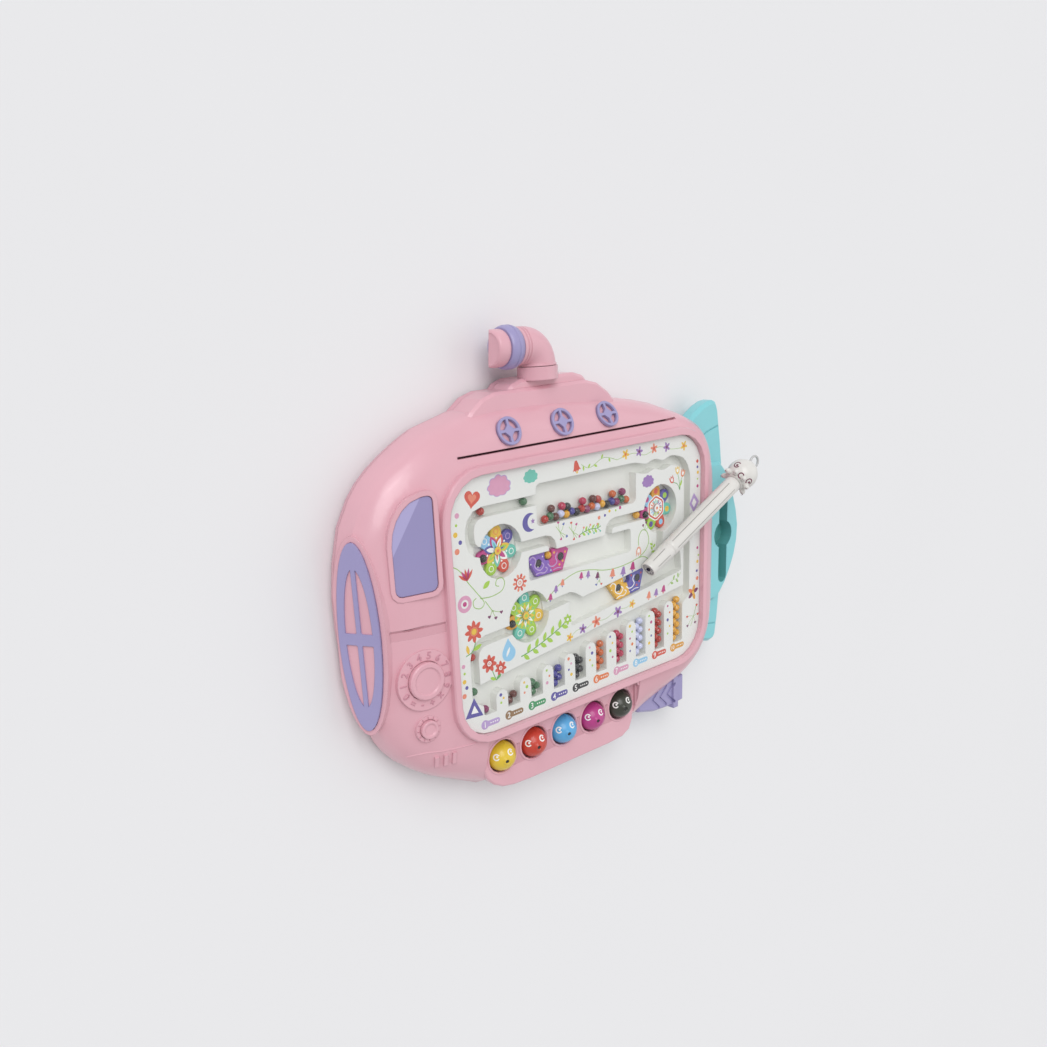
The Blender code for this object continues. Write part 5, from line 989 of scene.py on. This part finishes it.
def wheel(index):
    """A seven-lobed wheel with a coloured lobe for each petal, raised cup rims and one bead."""
    centre = middle_of(f"wheel_axle_{index + 1}")
    centre.z = 0
    matrix = in_mm(centre)
    first = pi / 2 - LOBE_PITCH / 2
    stations = [(2.1, None, 38.35), (None, -0.45, 38.35), (None, 0, 38.8), (None, 0, 40.75),
                (None, -0.15, 41.08), (None, -0.5, 41.25), (10.6, None, 41.25), (10, None, 41.15),
                (2.1, None, 41.15)]
    bm = bmesh.new()
    turns = round_turns(140, first)
    rows = [[matrix @ Vector((*at_turn(radius or lobe_reach(t) + inward, t), z)) for t in turns]
            for radius, inward, z in stations]
    skin(bm, rows, ends=False)
    for face in bm.faces:
        spot = face.calc_center_median() - centre
        face.material_index = int(((atan2(spot.y, spot.x) - first) % tau) / LOBE_PITCH) % 7
    rim = [(2.7, 41.2), (2.95, 41.5), (3.25, 41.55), (3.55, 41.45), (3.75, 41.2)]
    for i, turn in enumerate(round_turns(7, pi / 2)):
        lobe = Matrix.Translation((*at_turn(LOBE_RING, turn), 0))
        turned(bm, rim, matrix @ lobe, i, 28, ends=False)
    body = f"wheel_{index + 1}"
    piece(f"painted_{body}", bm, WHEEL_INKS[index], body, WHEEL_SLOTS[index], f"flower_{body}", sharp=40)
    wheel_print(index, centre)
    spot = at_turn(LOBE_RING, pi / 2 + 2 * LOBE_PITCH, *(centre - MIDDLE).xy / MM)
    single_bead(f"wheel_bead_{index + 1}", spot, "bead_black", body, height=WHEEL_BEAD_Z)


def wheel_print(index, centre):
    def face(name, body, slot, height):
        return Print(f"wheel_{index + 1}_{name}", body, slot,
                     lambda x, y, lift: centre + Vector((x, y, height + lift)) * MM)
    sheet = face("print", f"wheel_{index + 1}", WHEEL_SLOTS[index], WHEEL_TOP)
    for ink, turn in zip(RING_INKS_AND_BEAD_SHADOW[index], round_turns(7, pi / 2)):
        spot = at_turn(LOBE_RING, turn)
        if index < 2:
            sheet.ring(ink, *spot, 1.8, 2.35, 1)
        else:
            sheet.dot(ink, *spot, 2.4, 1, 24)
    (wheel_flower, wheel_mandala, wheel_hexagon)[index](sheet)
    sheet.done()
    boss = face("boss", "board", "zinc_steel", BOSS_TOP)
    boss.dot(("yellow", "yellow", "white")[index], 0, 0, 3.05, 0, 28)
    boss.dot(("orange", "lime", "coral")[index], 0, 0, 1.3, 1, 20)
    boss.done()


def wheel_flower(sheet):
    """Seven long pointed petals in mixed colours with white hearts."""
    inks = ["red", "magenta", "indigo", "yellow", "teal", "white", "yellow"]
    hearts = ["white", "sky", "white", "lime", "white", "magenta", "lime"]
    for i in range(7):
        turn = 64 + 360 * i / 7
        sheet.petal(inks[i], 0, 0, turn, 12.4, 6.2, 1)
        sheet.petal(hearts[i], 0, 0, turn, 10, 3.6, 2)
        sheet.petal(inks[(i + 3) % 7], 0, 0, turn, 7.6, 1.5, 3, blunt=0.9)
        sheet.dot("white", *at_turn(9.3, radians(turn + 25.7)), 0.8, 2)


def wheel_mandala(sheet):
    """A green and yellow star of thin petals round a pale middle."""
    sheet.dot("lime", 0, 0, 10.4, 0, 40)
    sheet.star(["yellow", "white"], 0, 0, 14, 90, 9.8, 2.6, 1, blunt=1.1)
    sheet.star(["green", "teal"], 0, 0, 14, 90, 6.6, 1.4, 2, blunt=1)
    sheet.spots(["teal"], 14, 90 + 180 / 14, 9.2, 0.6, 2)
    sheet.dot("yellow", 0, 0, 3.6, 3, 24)


def wheel_hexagon(sheet):
    """A white six-sided field with a red border and small sprigs."""
    for radius, ink, layer in ((11.4, "white", 0), (10.2, "red", 1), (8.7, "white", 2)):
        corners = circle(0, 0, radius, 6)
        points = []
        for a, b in zip(corners, corners[1:] + corners[:1]):
            points += [(a[0] * (1 - t) + b[0] * t, a[1] * (1 - t) + b[1] * t) for t in (0.12, 0.88)]
        sheet.area(ink, laid(points, 0, 0, 1, 90), layer)
    inks = ["teal", "coral", "sky", "lime", "amber", "violet"]
    for lean, start in ((-22, 2.9), (0, 3.4), (22, 2.9)):
        sheet.star(inks, 0, 0, 6, 90 + lean, 4.2, 1.2, 3, start)
    sheet.spots(inks[2:] + inks[:2], 6, 120, 7.4 * 0.86, 0.6, 3)
    sheet.dot("red", 0, 0, 3.9, 3, 20)
    sheet.ring("white", 0, 0, 3.2, 3.6, 4)


def sled_print(name, body, slot, centre, slope, ink, dots_ink):
    """Printed swirls and spots on a sled's face."""
    turn = Matrix.Rotation(radians(slope), 4, "Z")
    sheet = Print(name, body, slot,
                  lambda x, y, lift: mm(*centre, SLED_TOP + lift) + turn @ Vector((x, y, 0)) * MM)
    sheet.stroke(ink, [(-19.2, 5.4), (-16, 7), (-12.8, 4), (-14, -1), (-9, -4.5), (-5, -1.5), (-7, 1.2)], 1)
    sheet.stroke(ink, [(-13.6, -7.2), (-9.6, -6.4), (-4.6, -7.3), (-1.5, -5), (-3.4, -3.2)], 0.9)
    sheet.stroke(ink, [(-1, -1), (1.6, -3.6), (5.4, -4), (8.6, -1.6), (7.4, 2.4), (9.6, 5.6)], 0.9)
    sheet.stroke(ink, [(4.5, -7), (9, -6.4), (13, -7.2)], 0.6)
    for x, y in ((14.6, -2), (17.4, 4.6), (11.2, -4.2), (6, 6.2)):
        sheet.dot(dots_ink, x, y, 0.9, 1)
    for x, y in ((-18, 1.8), (-11, -1.6), (-6, 5.6), (2, -6.8)):
        sheet.dot("white", x, y, 0.55, 1, 12)
    sheet.done()


# ---------- fish ----------

FISH_RADIUS, FISH_HEIGHT = 12.05, 0.0357
FISH_FINS = (((0.117, 0.95, 0.26), 7, 1), ((-0.85, -0.33, -0.1), 5, 0.6),
             ((0.80, 0.20, 0.30), 5, 0.6))
FISH_EYES = (("left", (-0.797, 0.276, 0.538)), ("right", (0.118, 0.468, 0.876)))


def on_ball(centre, direction, up, radius):
    """Lays flat shapes in millimetres on a ball, with local Y towards up."""
    ahead = Vector(direction).normalized()
    right = Vector(up).cross(ahead).normalized()
    above = ahead.cross(right)

    def lay(x, y, lift):
        spot = (ahead * radius + right * x + above * y).normalized()
        return centre + spot * (radius + lift) * MM
    return lay


def raised_ring(bm, lay, profile, finish, count=28):
    """A round welt on a curved face, from (radius, lift) pairs."""
    rows = [[lay(*at_turn(r, t), lift) for t in round_turns(count)] for r, lift in profile]
    skin(bm, rows, finish, ends=False)


def fish(index, name):
    """A round fish: raised mouth ring, ridged back fin, side fins and big ring eyes."""
    centre = Vector((*WELL_FEET[index], FISH_HEIGHT))
    up = Vector((0.15, 0.98, -0.1))
    side = [at_turn(FISH_RADIUS, pi * (i / 32 - 0.5)) for i in range(5, 32)]
    profile = [(6, -12.35), (6.5, -12.2), *[(r, z) for r, z in side if r > 6.6 or z > 0]]
    profile.append((0.05, FISH_RADIUS))
    bm = bmesh.new()
    turned(bm, profile, in_mm(centre), 0, 56)
    mouth = on_ball(centre, (-0.26, -0.038, 0.965), up, FISH_RADIUS)
    welt = [(1.4, -0.3), (1.45, 0.55), (1.8, 0.85), (2.45, 0.8), (2.95, 0.3), (3.3, 0.12), (4.3, -0.12)]
    raised_ring(bm, mouth, welt, 0)
    # Painted shade: a flat black disc inside the mouth ring stands for the mouth's hole.
    raised_ring(bm, mouth, [(0.05, 0.04), (0.7, 0.04), (1.42, 0.05)], 1)
    for direction, length, height in FISH_FINS:
        fin(bm, centre, direction, length, height)
    piece(f"moulded_fish_{index + 1}", bm, [name, "black"], name, name, f"fish_{index + 1}", sharp=45)
    for eye_name, direction in FISH_EYES:
        lay = on_ball(centre, direction, up, FISH_RADIUS)
        eye = Print(f"fish_{index + 1}_{eye_name}_eye", name, name, lay)
        eye.ring("white", 0, 0, 1.75, 2.85, 1, 35, 300)
        eye.ring("white", 0.65, 0.35, 0, 0.85, 1, 0, 360, 14)
        eye.done()


def fin(bm, centre, direction, length, height):
    """A thin fin with a swept tip, standing on the ball along a line towards the top."""
    out = Vector(direction).normalized()
    along = (UP - out * out.z).normalized()
    side = out.cross(along) * MM
    rows = []
    for i in range(9):
        t = i / 8
        rise = height * sin(pi * t ** 0.7) ** 0.8 if 0 < t < 1 else 0.0
        ground = (out * 12.0 + along * ((t - 0.5) * length)).normalized() * MM
        foot, tip = centre + ground * 11.8, centre + ground * (12.0 + rise)
        rows.append([foot - side * 0.75, tip - side * 0.32, tip + side * 0.32, foot + side * 0.75])
    skin(bm, rows, 0)


def well_rims():
    """Round lips of the fish wells, and the web that closes the shelf's right end."""
    bm = bmesh.new()
    rim = [(13.7, 37.7), (13.8, 38.5), (14.1, 38.9), (14.7, 38.95), (15.2, 38.6), (15.6, 37.9)]
    for foot in WELL_FEET:
        turned(bm, rim, in_mm((*foot, 0)), 0, 56, ends=False)
    piece("well_rims", bm, ["pink"], "board", "pink_shell", sharp=60)
    web = bmesh.new()
    for top, outline in (
            (38.1, [(54.5, -104), (60, -104), (60.5, -128), (57.5, -128), (54.5, -122)]),
            (41.2, [(57.4, -102.8), (60.2, -102.8), (60.4, -128), (57.6, -128)]),
            (44.4, [(55.6, -102.6), (60.2, -102.6), (60.2, -109), (57.5, -109), (55.6, -106)])):
        plate(web, outline, [], 33, top, in_mm(mm(0, 0)))
    piece("shelf_end_web", web, ["pink"], "board", "pink_shell")


# ---------- pen ----------

def axis_turn(axis, side):
    """A turn that lays local Z on an axis and local X on a side."""
    return Matrix((side, axis.cross(side), axis)).transposed().to_4x4()


PEN_TIP = Vector((0.058598, -0.0257, 0.054407))
PEN_AXIS = Vector((0.880703, 0.471773, 0.042339)).normalized()
PEN_STAND = in_mm(PEN_TIP, axis_turn(PEN_AXIS, UP.cross(PEN_AXIS).normalized()))
BARREL = [(1.9, 1.2), (4.7, 1), (5.3, 0.5), (5.7, 0.1), (6.1, 0.05), (6.35, 0.5), (6.45, 2), (6.6, 6),
          (6.62, 6.3), (6.85, 14), (7.05, 21), (7.06, 21.3), (7.2, 26.3), (7, 26.7), (6.75, 26.9),
          (6.75, 27.3), (7, 27.5), (7.22, 27.9), (7.22, 31), (7.22, 31.3), (7.22, 70), (7.22, 109),
          (7.22, 109.3), (7.22, 114), (7.1, 116.2), (6.7, 116.9)]
FLUTE_STEPS = [-0.1, -0.055, -0.03, 0.03, 0.055, 0.1, 0.25, 0.40, 0.5236, 0.65, 0.79]
FLUTE_PITCH, FLUTE_HALF, FLUTE_DEPTH = pi / 3, 0.05, 0.5
HEAD_MIDDLE, HEAD_RADIUS = 129.44, 13.1
ARM_TURNS = round_turns(8, pi / 8)
ARM_PATH = ((8.6, 121.6, 2.2), (9.8, 120.5, 2.4), (11, 119.8, 2.35), (12.1, 119.4, 2.1), (13, 119.2, 1.6),
            (13.6, 119.1, 0.5))


def fluted(z):
    return 31.2 < z < 109.2 or 6.2 < z < 21.2


def pen_barrel():
    """A tube with an open tip, a seam ring behind the tip and six long flutes; the flute floors and the tip's
    bore take darker finishes as painted shade.
    """
    rows = []
    for radius, z in BARREL:
        turns = [((k + 0.5) * FLUTE_PITCH + step, FLUTE_DEPTH * (fluted(z) and abs(step) < FLUTE_HALF))
                 for k in range(6) for step in FLUTE_STEPS]
        rows.append([PEN_STAND @ Vector((*at_turn(radius - sunk, turn), z)) for turn, sunk in turns])
    bm = bmesh.new()
    skin(bm, rows, 0)
    back = PEN_STAND.inverted()
    for face in bm.faces:
        spot = back @ face.calc_center_median()
        turn = atan2(spot.y, spot.x) % FLUTE_PITCH - FLUTE_PITCH / 2
        # Painted shade: the flute floors and the open tip's bore get darker finishes.
        if fluted(spot.z) and abs(turn) < FLUTE_HALF:
            face.material_index = 1
        if spot.z < 1.1 and hypot(spot.x, spot.y) < 5.4:
            face.material_index = 2
    finishes = ["pen_white", "flute_shade", "bore_shade"]
    piece("pen_barrel", bm, finishes, "pen", "white_pen", "pen_body", sharp=32)


def pen_topper():
    """Round sea-creature head on short arms, with a hanging loop; pen_face prints its ring eyes and ring
    mouth.
    """
    side = [at_turn(HEAD_RADIUS, pi * (i / 30 - 0.5)) for i in range(6, 30)]
    profile = [(6.9, 117.4), (8.2, 118.2)]
    profile += [(r, HEAD_MIDDLE + z) for r, z in side if HEAD_MIDDLE + z > 118.6]
    profile.append((0.05, HEAD_MIDDLE + HEAD_RADIUS))
    bm = bmesh.new()
    turned(bm, profile, PEN_STAND, 0, 56)
    for turn in ARM_TURNS:
        arm(bm, [(Vector((*at_turn(reach, turn), z)), radius) for reach, z, radius in ARM_PATH])
    loop = PEN_STAND @ Matrix.Translation((0, 0, HEAD_MIDDLE + 17.6)) @ Matrix.Rotation(pi / 2, 4, "X")
    outs = [Vector((*at_turn(1, tau * k / 28), 0)) for k in range(29)]
    tube(bm, loop, [(out * 5.1, out, UP, 1.05) for out in outs], 1, 12, ends=False)
    piece("pen_topper", bm, ["pen_white", "loop_clear"], "pen", "white_pen", "pen_head", sharp=50)


def arm(bm, path):
    """A limb through (middle, radius) pairs."""
    stations = []
    for (middle, radius), ahead in zip(path, headings([middle for middle, radius in path])):
        side = ahead.orthogonal().normalized()
        stations.append((middle, side, ahead.cross(side), radius))
    tube(bm, PEN_STAND, stations)


def bar(half_x, half_y):
    return [(-half_x, -half_y), (half_x, -half_y), (half_x, half_y), (-half_x, half_y)]


def arm_marks():
    """Two short printed dashes along the outside of each arm."""
    for i, turn in enumerate(ARM_TURNS):
        out, side = [Vector((*at_turn(1, turn + quarter), 0)) for quarter in (0, pi / 2)]

        def lay(x, y, lift):
            centre = out * y + UP * (119.8 - (y - 11) * 0.3)
            ahead = ((out * 0.25 - UP * 0.97) * cos(x / 2.3) + side * sin(x / 2.3)).normalized()
            return PEN_STAND @ (centre + ahead * (2.42 + lift))
        marks = Print(f"arm_marks_{i + 1}", "pen", "white_pen", lay)
        for x, y in ((-0.75, 10.6), (-0.75, 12.2), (0.75, 10.6), (0.75, 12.2)):
            marks.area("maroon", laid(bar(0.3, 0.5), x, y), 1)
        marks.done()


def pen_face():
    centre = PEN_TIP + PEN_AXIS * HEAD_MIDDLE * MM
    for name, direction, start in (("left_eye", (-0.662, 0.743, 0.099), 60),
                                   ("right_eye", (-0.406, -0.343, 0.847), -30),
                                   ("mouth", (-0.838, 0.090, 0.538), None)):
        lay = on_ball(centre, direction, Vector((0.45, 0.75, 0.48)), HEAD_RADIUS + 0.05)
        sheet = Print(f"pen_{name}", "pen", "white_pen", lay)
        if start is None:
            sheet.ring("maroon", 0, 0, 1.75, 2.75, 1)
        else:
            sheet.ring("maroon", 0, 0, 2.15, 3.1, 1, start, 300)
            sheet.ring("maroon", 0.6, -0.4, 0, 1.05, 1, 0, 360, 14)
        sheet.done()


# ---------- periscope ----------

COLLAR = Vector((-0.0276, 0.14276, 0.025))


def periscope_part(kind, bm, finish, slot):
    piece(f"smooth_periscope_{kind}", bm, [finish], "periscope", slot, f"periscope_{kind}", sharp=40)


def periscope():
    """A bent pipe with two ribs, a stepped ring and a cap with a flat face."""
    bend = [(*at_turn(14.5, pi / 24 * i, -14.5, 0.6), pi / 24 * i, 13.4) for i in range(13)]
    straight = [(-14.6, 13.4), (-15.6, 13.4), (-15.9, 12.7), (-16.7, 12.7), (-17, 13.5), (-18.2, 13.5),
                (-18.5, 12.8), (-19.3, 12.8), (-19.6, 13.5), (-22.2, 13.5)]
    stations = [(0, 0.35, 0, 14.2), (0, 1.6, 0, 14.2), (0, 2, 0, 13.4), *[s for s in bend if s[1] > 2.2],
                *[(x, 15.1, pi / 2, radius) for x, radius in straight]]
    pipe = bmesh.new()
    tube(pipe, in_mm(COLLAR), [(Vector((x, y, 0)), Vector((*at_turn(1, turn), 0)), UP, radius)
                               for x, y, turn, radius in stations], 0, 48)
    periscope_part("elbow", pipe, "pink", "pink_shell")
    end = in_mm(COLLAR + Vector((-22.5, 15.1, 0)) * MM, Matrix.Rotation(radians(-90), 4, "Y"))
    ring = bmesh.new()
    profile = [(10.4, 0.3), (13.6, 0.3), (14.3, 0.9), (14.6, 2.4), (15.2, 3.2), (15.45, 4.6), (15.45, 5.6),
               (15.05, 5.9), (15.05, 6.5), (15.45, 6.8), (15.45, 8.2), (15.2, 9.6), (14.6, 11.2),
               (13.9, 12.1), (10.4, 12.2)]
    turned(ring, profile, end, 0, 56, ends=False)
    periscope_part("ring", ring, "purple", "purple_trim")
    cap = bmesh.new()
    profile = [(12.6, 12.4), (13, 13.2), (13.1, 15), (13.1, 20.2), (12.8, 21.4), (12, 22.2),
               (10.9, 22.5), (10.6, 22.1), (0.05, 21.9)]
    turned(cap, profile, end, 0, 56)
    lean = Vector((-0.776, 0.061, -0.627))
    spot = end @ Vector((0, 0, 22.2)) + lean * 0.0004
    bmesh.ops.remove_doubles(cap, verts=cap.verts, dist=0.000001)
    whole = cap.verts[:] + cap.edges[:] + cap.faces[:]
    made = bmesh.ops.bisect_plane(cap, geom=whole, plane_co=spot, plane_no=lean, clear_outer=True)
    rim = [edge for edge in made["geom_cut"] if isinstance(edge, bmesh.types.BMEdge)]
    bmesh.ops.triangle_fill(cap, use_beauty=True, use_dissolve=True, edges=rim)
    periscope_part("cap", cap, "pink", "pink_shell")


# ---------- windows, portholes and dials ----------

def nose_openings():
    """Four long openings beside the spokes of the oval frame."""
    half_x, half_y, gap_x, gap_y = 10.4, 50, 1.7, 4.1
    first, last = asin(gap_y / half_y), acos(gap_x / half_x)
    turns = [first + (last - first) * i / 18 for i in range(19)]
    shape = [(gap_x + 0.8, gap_y), *[(half_x * cos(t), half_y * sin(t)) for t in turns], (gap_x, gap_y + 0.8)]
    return [[(x * sx, y * sy) for x, y in shape] for sx, sy in ((1, 1), (-1, 1), (-1, -1), (1, -1))]


def nose():
    matrix = in_mm(mm(-200, -2.7, 26), Matrix.Rotation(radians(-60), 4, "Y"))
    bm = bmesh.new()
    plate(bm, oval(15.7, 67.7, 96), nose_openings(), -0.9, 1.75, matrix)
    piece("smooth_nose_window", bm, ["purple"], "board", "purple_trim", "nose_window", sharp=30)
    backing = bmesh.new()
    plate(backing, oval(11.4, 51.4), [], -1.15, 0.55, matrix)
    piece("nose_panes", backing, ["pink"], "board", "pink_shell", sharp=30)


def porthole_ring(index):
    """A round frame with four spokes and a square-set hub."""
    mesh = nodes[f"porthole_{index}"].data
    points = [v.co for v in mesh.vertices]
    centre = sum(points, Vector()) / len(points)
    normal = best_normal(mesh)
    heights = [(p - centre).dot(normal) for p in points]
    middle = centre + normal * (min(heights) + max(heights)) / 2
    matrix = in_mm(middle, axis_turn(normal, Vector((0, 1, 0)).cross(normal).normalized()))
    opening = [at_turn(8.3, radians(8 + 74 * i / 8)) for i in range(9)]
    opening += [(0.95, 4.3), (2.2, 2.9), (2.9, 2.2), (4.3, 0.95)]
    bm = bmesh.new()
    plate(bm, circle(0, 0, 10.3, 56), [laid(opening, 0, 0, 1, 90 * k) for k in range(4)], -1.2, 1.1, matrix)
    turned(bm, [(8.7, 1.05), (9, 1.3), (9.9, 1.3), (10.25, 1.05)], matrix, 0, 56, ends=False)
    piece(f"smooth_porthole_{index}", bm, ["purple"], "board", "purple_trim", f"porthole_{index}", sharp=30)


def best_normal(mesh):
    """The direction in which most of a flat piece's surface faces, upwards."""
    areas = {}
    for face in mesh.polygons:
        key = tuple(round(c, 2) for c in face.normal)
        areas[key] = areas.get(key, 0) + (face.area if face.normal.z > 0.2 else 0)
    return Vector(max(areas, key=areas.get)).normalized()


def on_dial(radius, turn, lift=0):
    """A place round a dial, facing outwards."""
    return Matrix.Translation((*at_turn(radius, turn), lift)) @ Matrix.Rotation(turn - pi / 2, 4, "Z")


def dial_marks():
    """Raised numbers and sum signs round the large dial, and ticks round the small one, in a deeper pink that
    is painted shade.
    """
    bm = bmesh.new()
    dial = dial_stand(-162, -39, 16.5)
    for i, text in enumerate("123456789x+-=0"):
        mesh = numeral_mesh(text, 7.4, 0.6)
        mesh.transform(dial @ on_dial(18.3, pi - tau * i / 14, 0.1))
        bm.from_mesh(mesh)
        bpy.data.meshes.remove(mesh)
    small = dial_stand(-162, -76.53, 8.25)
    for turn in round_turns(12):
        plate(bm, bar(0.3, 0.7), [], -0.2, 0.3, small @ on_dial(8.8, turn))
    piece("dial_marks", bm, ["dial_mark_shade_pink"], "board", "pink_shell", sharp=30)


def dial_stand(x, y, reach):
    """The face of a dial's disc: local Z runs along the dial's axis."""
    tilt = radians(5)
    height = shell_hit(x + reach, y).z / MM - reach * sin(tilt)
    return in_mm(mm(x, y, height), Matrix.Rotation(-tilt, 4, "Y"))


shell_mesh = nodes["front_shell"].data
shell_tree = BVHTree.FromPolygons([v.co.copy() for v in shell_mesh.vertices],
                                  [tuple(p.vertices) for p in shell_mesh.polygons])


def shell_hit(x, y):
    """Where the front shell's outside lies above a place, in metres."""
    return shell_tree.ray_cast(mm(x, y, 100), -UP)[0] or mm(x, y, 10)


def lower_crease():
    """A low moulded ridge that follows the shell's surface."""
    points = [(-176.3, -98.3), (-170.7, -97), (-164.1, -96.6), (-156, -97.6), (-146.1, -98.8),
              (-137.7, -99.9), (-128.8, -100.7), (-121, -101.2)]
    line = [Vector(p) for p in smooth_line(points, 8)]
    rows = []
    for point, ahead in zip(line, headings(line)):
        across = Vector((-ahead.y, ahead.x)) * 1.7
        rows.append([shell_hit(*(point + across * off)) + UP * (lift * 0.55 * MM)
                     for off, lift in ((-0.5, -0.25), (-0.35, 0.55), (0, 1), (0.35, 0.55), (0.5, -0.25))])
    bm = bmesh.new()
    skin(bm, rows, 0, ring=False, ends=False)
    piece("lower_crease", bm, ["pink"], "board", "pink_shell", sharp=70)


def screw_crosses():
    """A dark flat cross on each screw head at the back, painted shade for a cross recess."""
    cross = [p for k in range(4) for p in laid([(1.8, -0.4), (1.8, 0.4), (0.4, 0.4)], 0, 0, 1, 90 * k)]
    bm = bmesh.new()
    for name in ("case_screw_1", "case_screw_2", "case_screw_3", "case_screw_4"):
        middle = middle_of(name)
        middle.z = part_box(name)[0].z
        plate(bm, cross, [], -0.03, 0.2, in_mm(middle))
    piece("screw_crosses", bm, ["screw_recess_shade"], "board", "zinc_steel")


board_print()
all_beads()
for number in range(3):
    wheel(number)
sled_print("violet_sled_print", "first_carrier", "violet_sled", (-40.03, 20.56), 0, "lilac", "yellow")
sled_print("amber_sled_print", "second_carrier", "amber_sled", (45.9, -17), 7.41, "white", "red")
for number, fish_name in enumerate(FISH):
    fish(number, fish_name)
for make in (well_rims, pen_barrel, pen_topper, pen_face, arm_marks, periscope, nose):
    make()
for number in (1, 2, 3):
    porthole_ring(number)
dial_marks()
lower_crease()
screw_crosses()


# ---------- room, light and camera ----------

def room():
    floor = bmesh.new()
    floor.faces.new([floor.verts.new((x, y, -0.0002)) for x, y in bar(8, 8)])
    mesh = bpy.data.meshes.new("pale_floor")
    floor.to_mesh(mesh)
    finish = Finish("pale_floor")
    cloud = finish.noise(0.4)
    finish.set(Base_Color=finish.mix(cloud, "ebebed", "e9e9eb"), Roughness=0.7 + cloud * 0.1,
               Specular_IOR_Level=0.05)
    mesh.materials.append(finish.material)
    shown("pale_floor", mesh)


def world(strength, seen):
    """Even white surroundings: one strength as a lamp, another where they are seen."""
    sky = bpy.data.worlds.new("soft_white_room")
    bpy.context.scene.world = sky
    sky.use_nodes = True
    tree = sky.node_tree
    path, either, level = [tree.nodes.new("ShaderNode" + kind) for kind in ("LightPath", "Math", "MapRange")]
    background = tree.nodes["Background"]
    background.inputs["Color"].default_value = (1, 1, 1, 1)
    either.operation = "MAXIMUM"
    level.inputs["To Min"].default_value = strength
    level.inputs["To Max"].default_value = seen
    for source, target in ((path.outputs["Is Camera Ray"], either.inputs[0]),
                           (path.outputs["Is Transmission Ray"], either.inputs[1]),
                           (either.outputs[0], level.inputs["Value"]),
                           (level.outputs[0], background.inputs["Strength"])):
        tree.links.new(source, target)


def sun(name, place, angle, power):
    light = bpy.data.lights.new(name, "SUN")
    light.angle = radians(angle)
    light.energy = power
    made = shown(name, light)
    made.location = place
    made.rotation_euler = (-Vector(place)).to_track_quat("-Z", "Y").to_euler()


def camera():
    data = bpy.data.cameras.new("photo_camera")
    data.lens = 33.72
    data.sensor_width = 36.0
    data.shift_x = 0.05
    data.shift_y = 0.10
    data.clip_start = 0.01
    made = shown("photo_camera", data)
    right = Vector((0.77637482, -0.06076871, 0.62733508))
    up = Vector((0.24568336, 0.94578585, -0.21243542))
    back = Vector((-0.58041522, 0.3190553, 0.74921418))
    turn = Matrix((right, up, back)).transposed().to_4x4()
    made.matrix_world = Matrix.Translation((-0.5278048, 0.19282682, 0.57197666)) @ turn
    bpy.context.scene.camera = made


room()
world(0.56, 0.80)
sun("key_light", (-0.55, 0.75, 1.1), 38, 1.15)
sun("gleam_light", (-0.35, 0.8, 0.5), 26, 0.42)
sun("side_light", (0.9, 0.1, 0.9), 60, 0.38)
camera()
bpy.context.scene.view_settings.view_transform = "Standard"
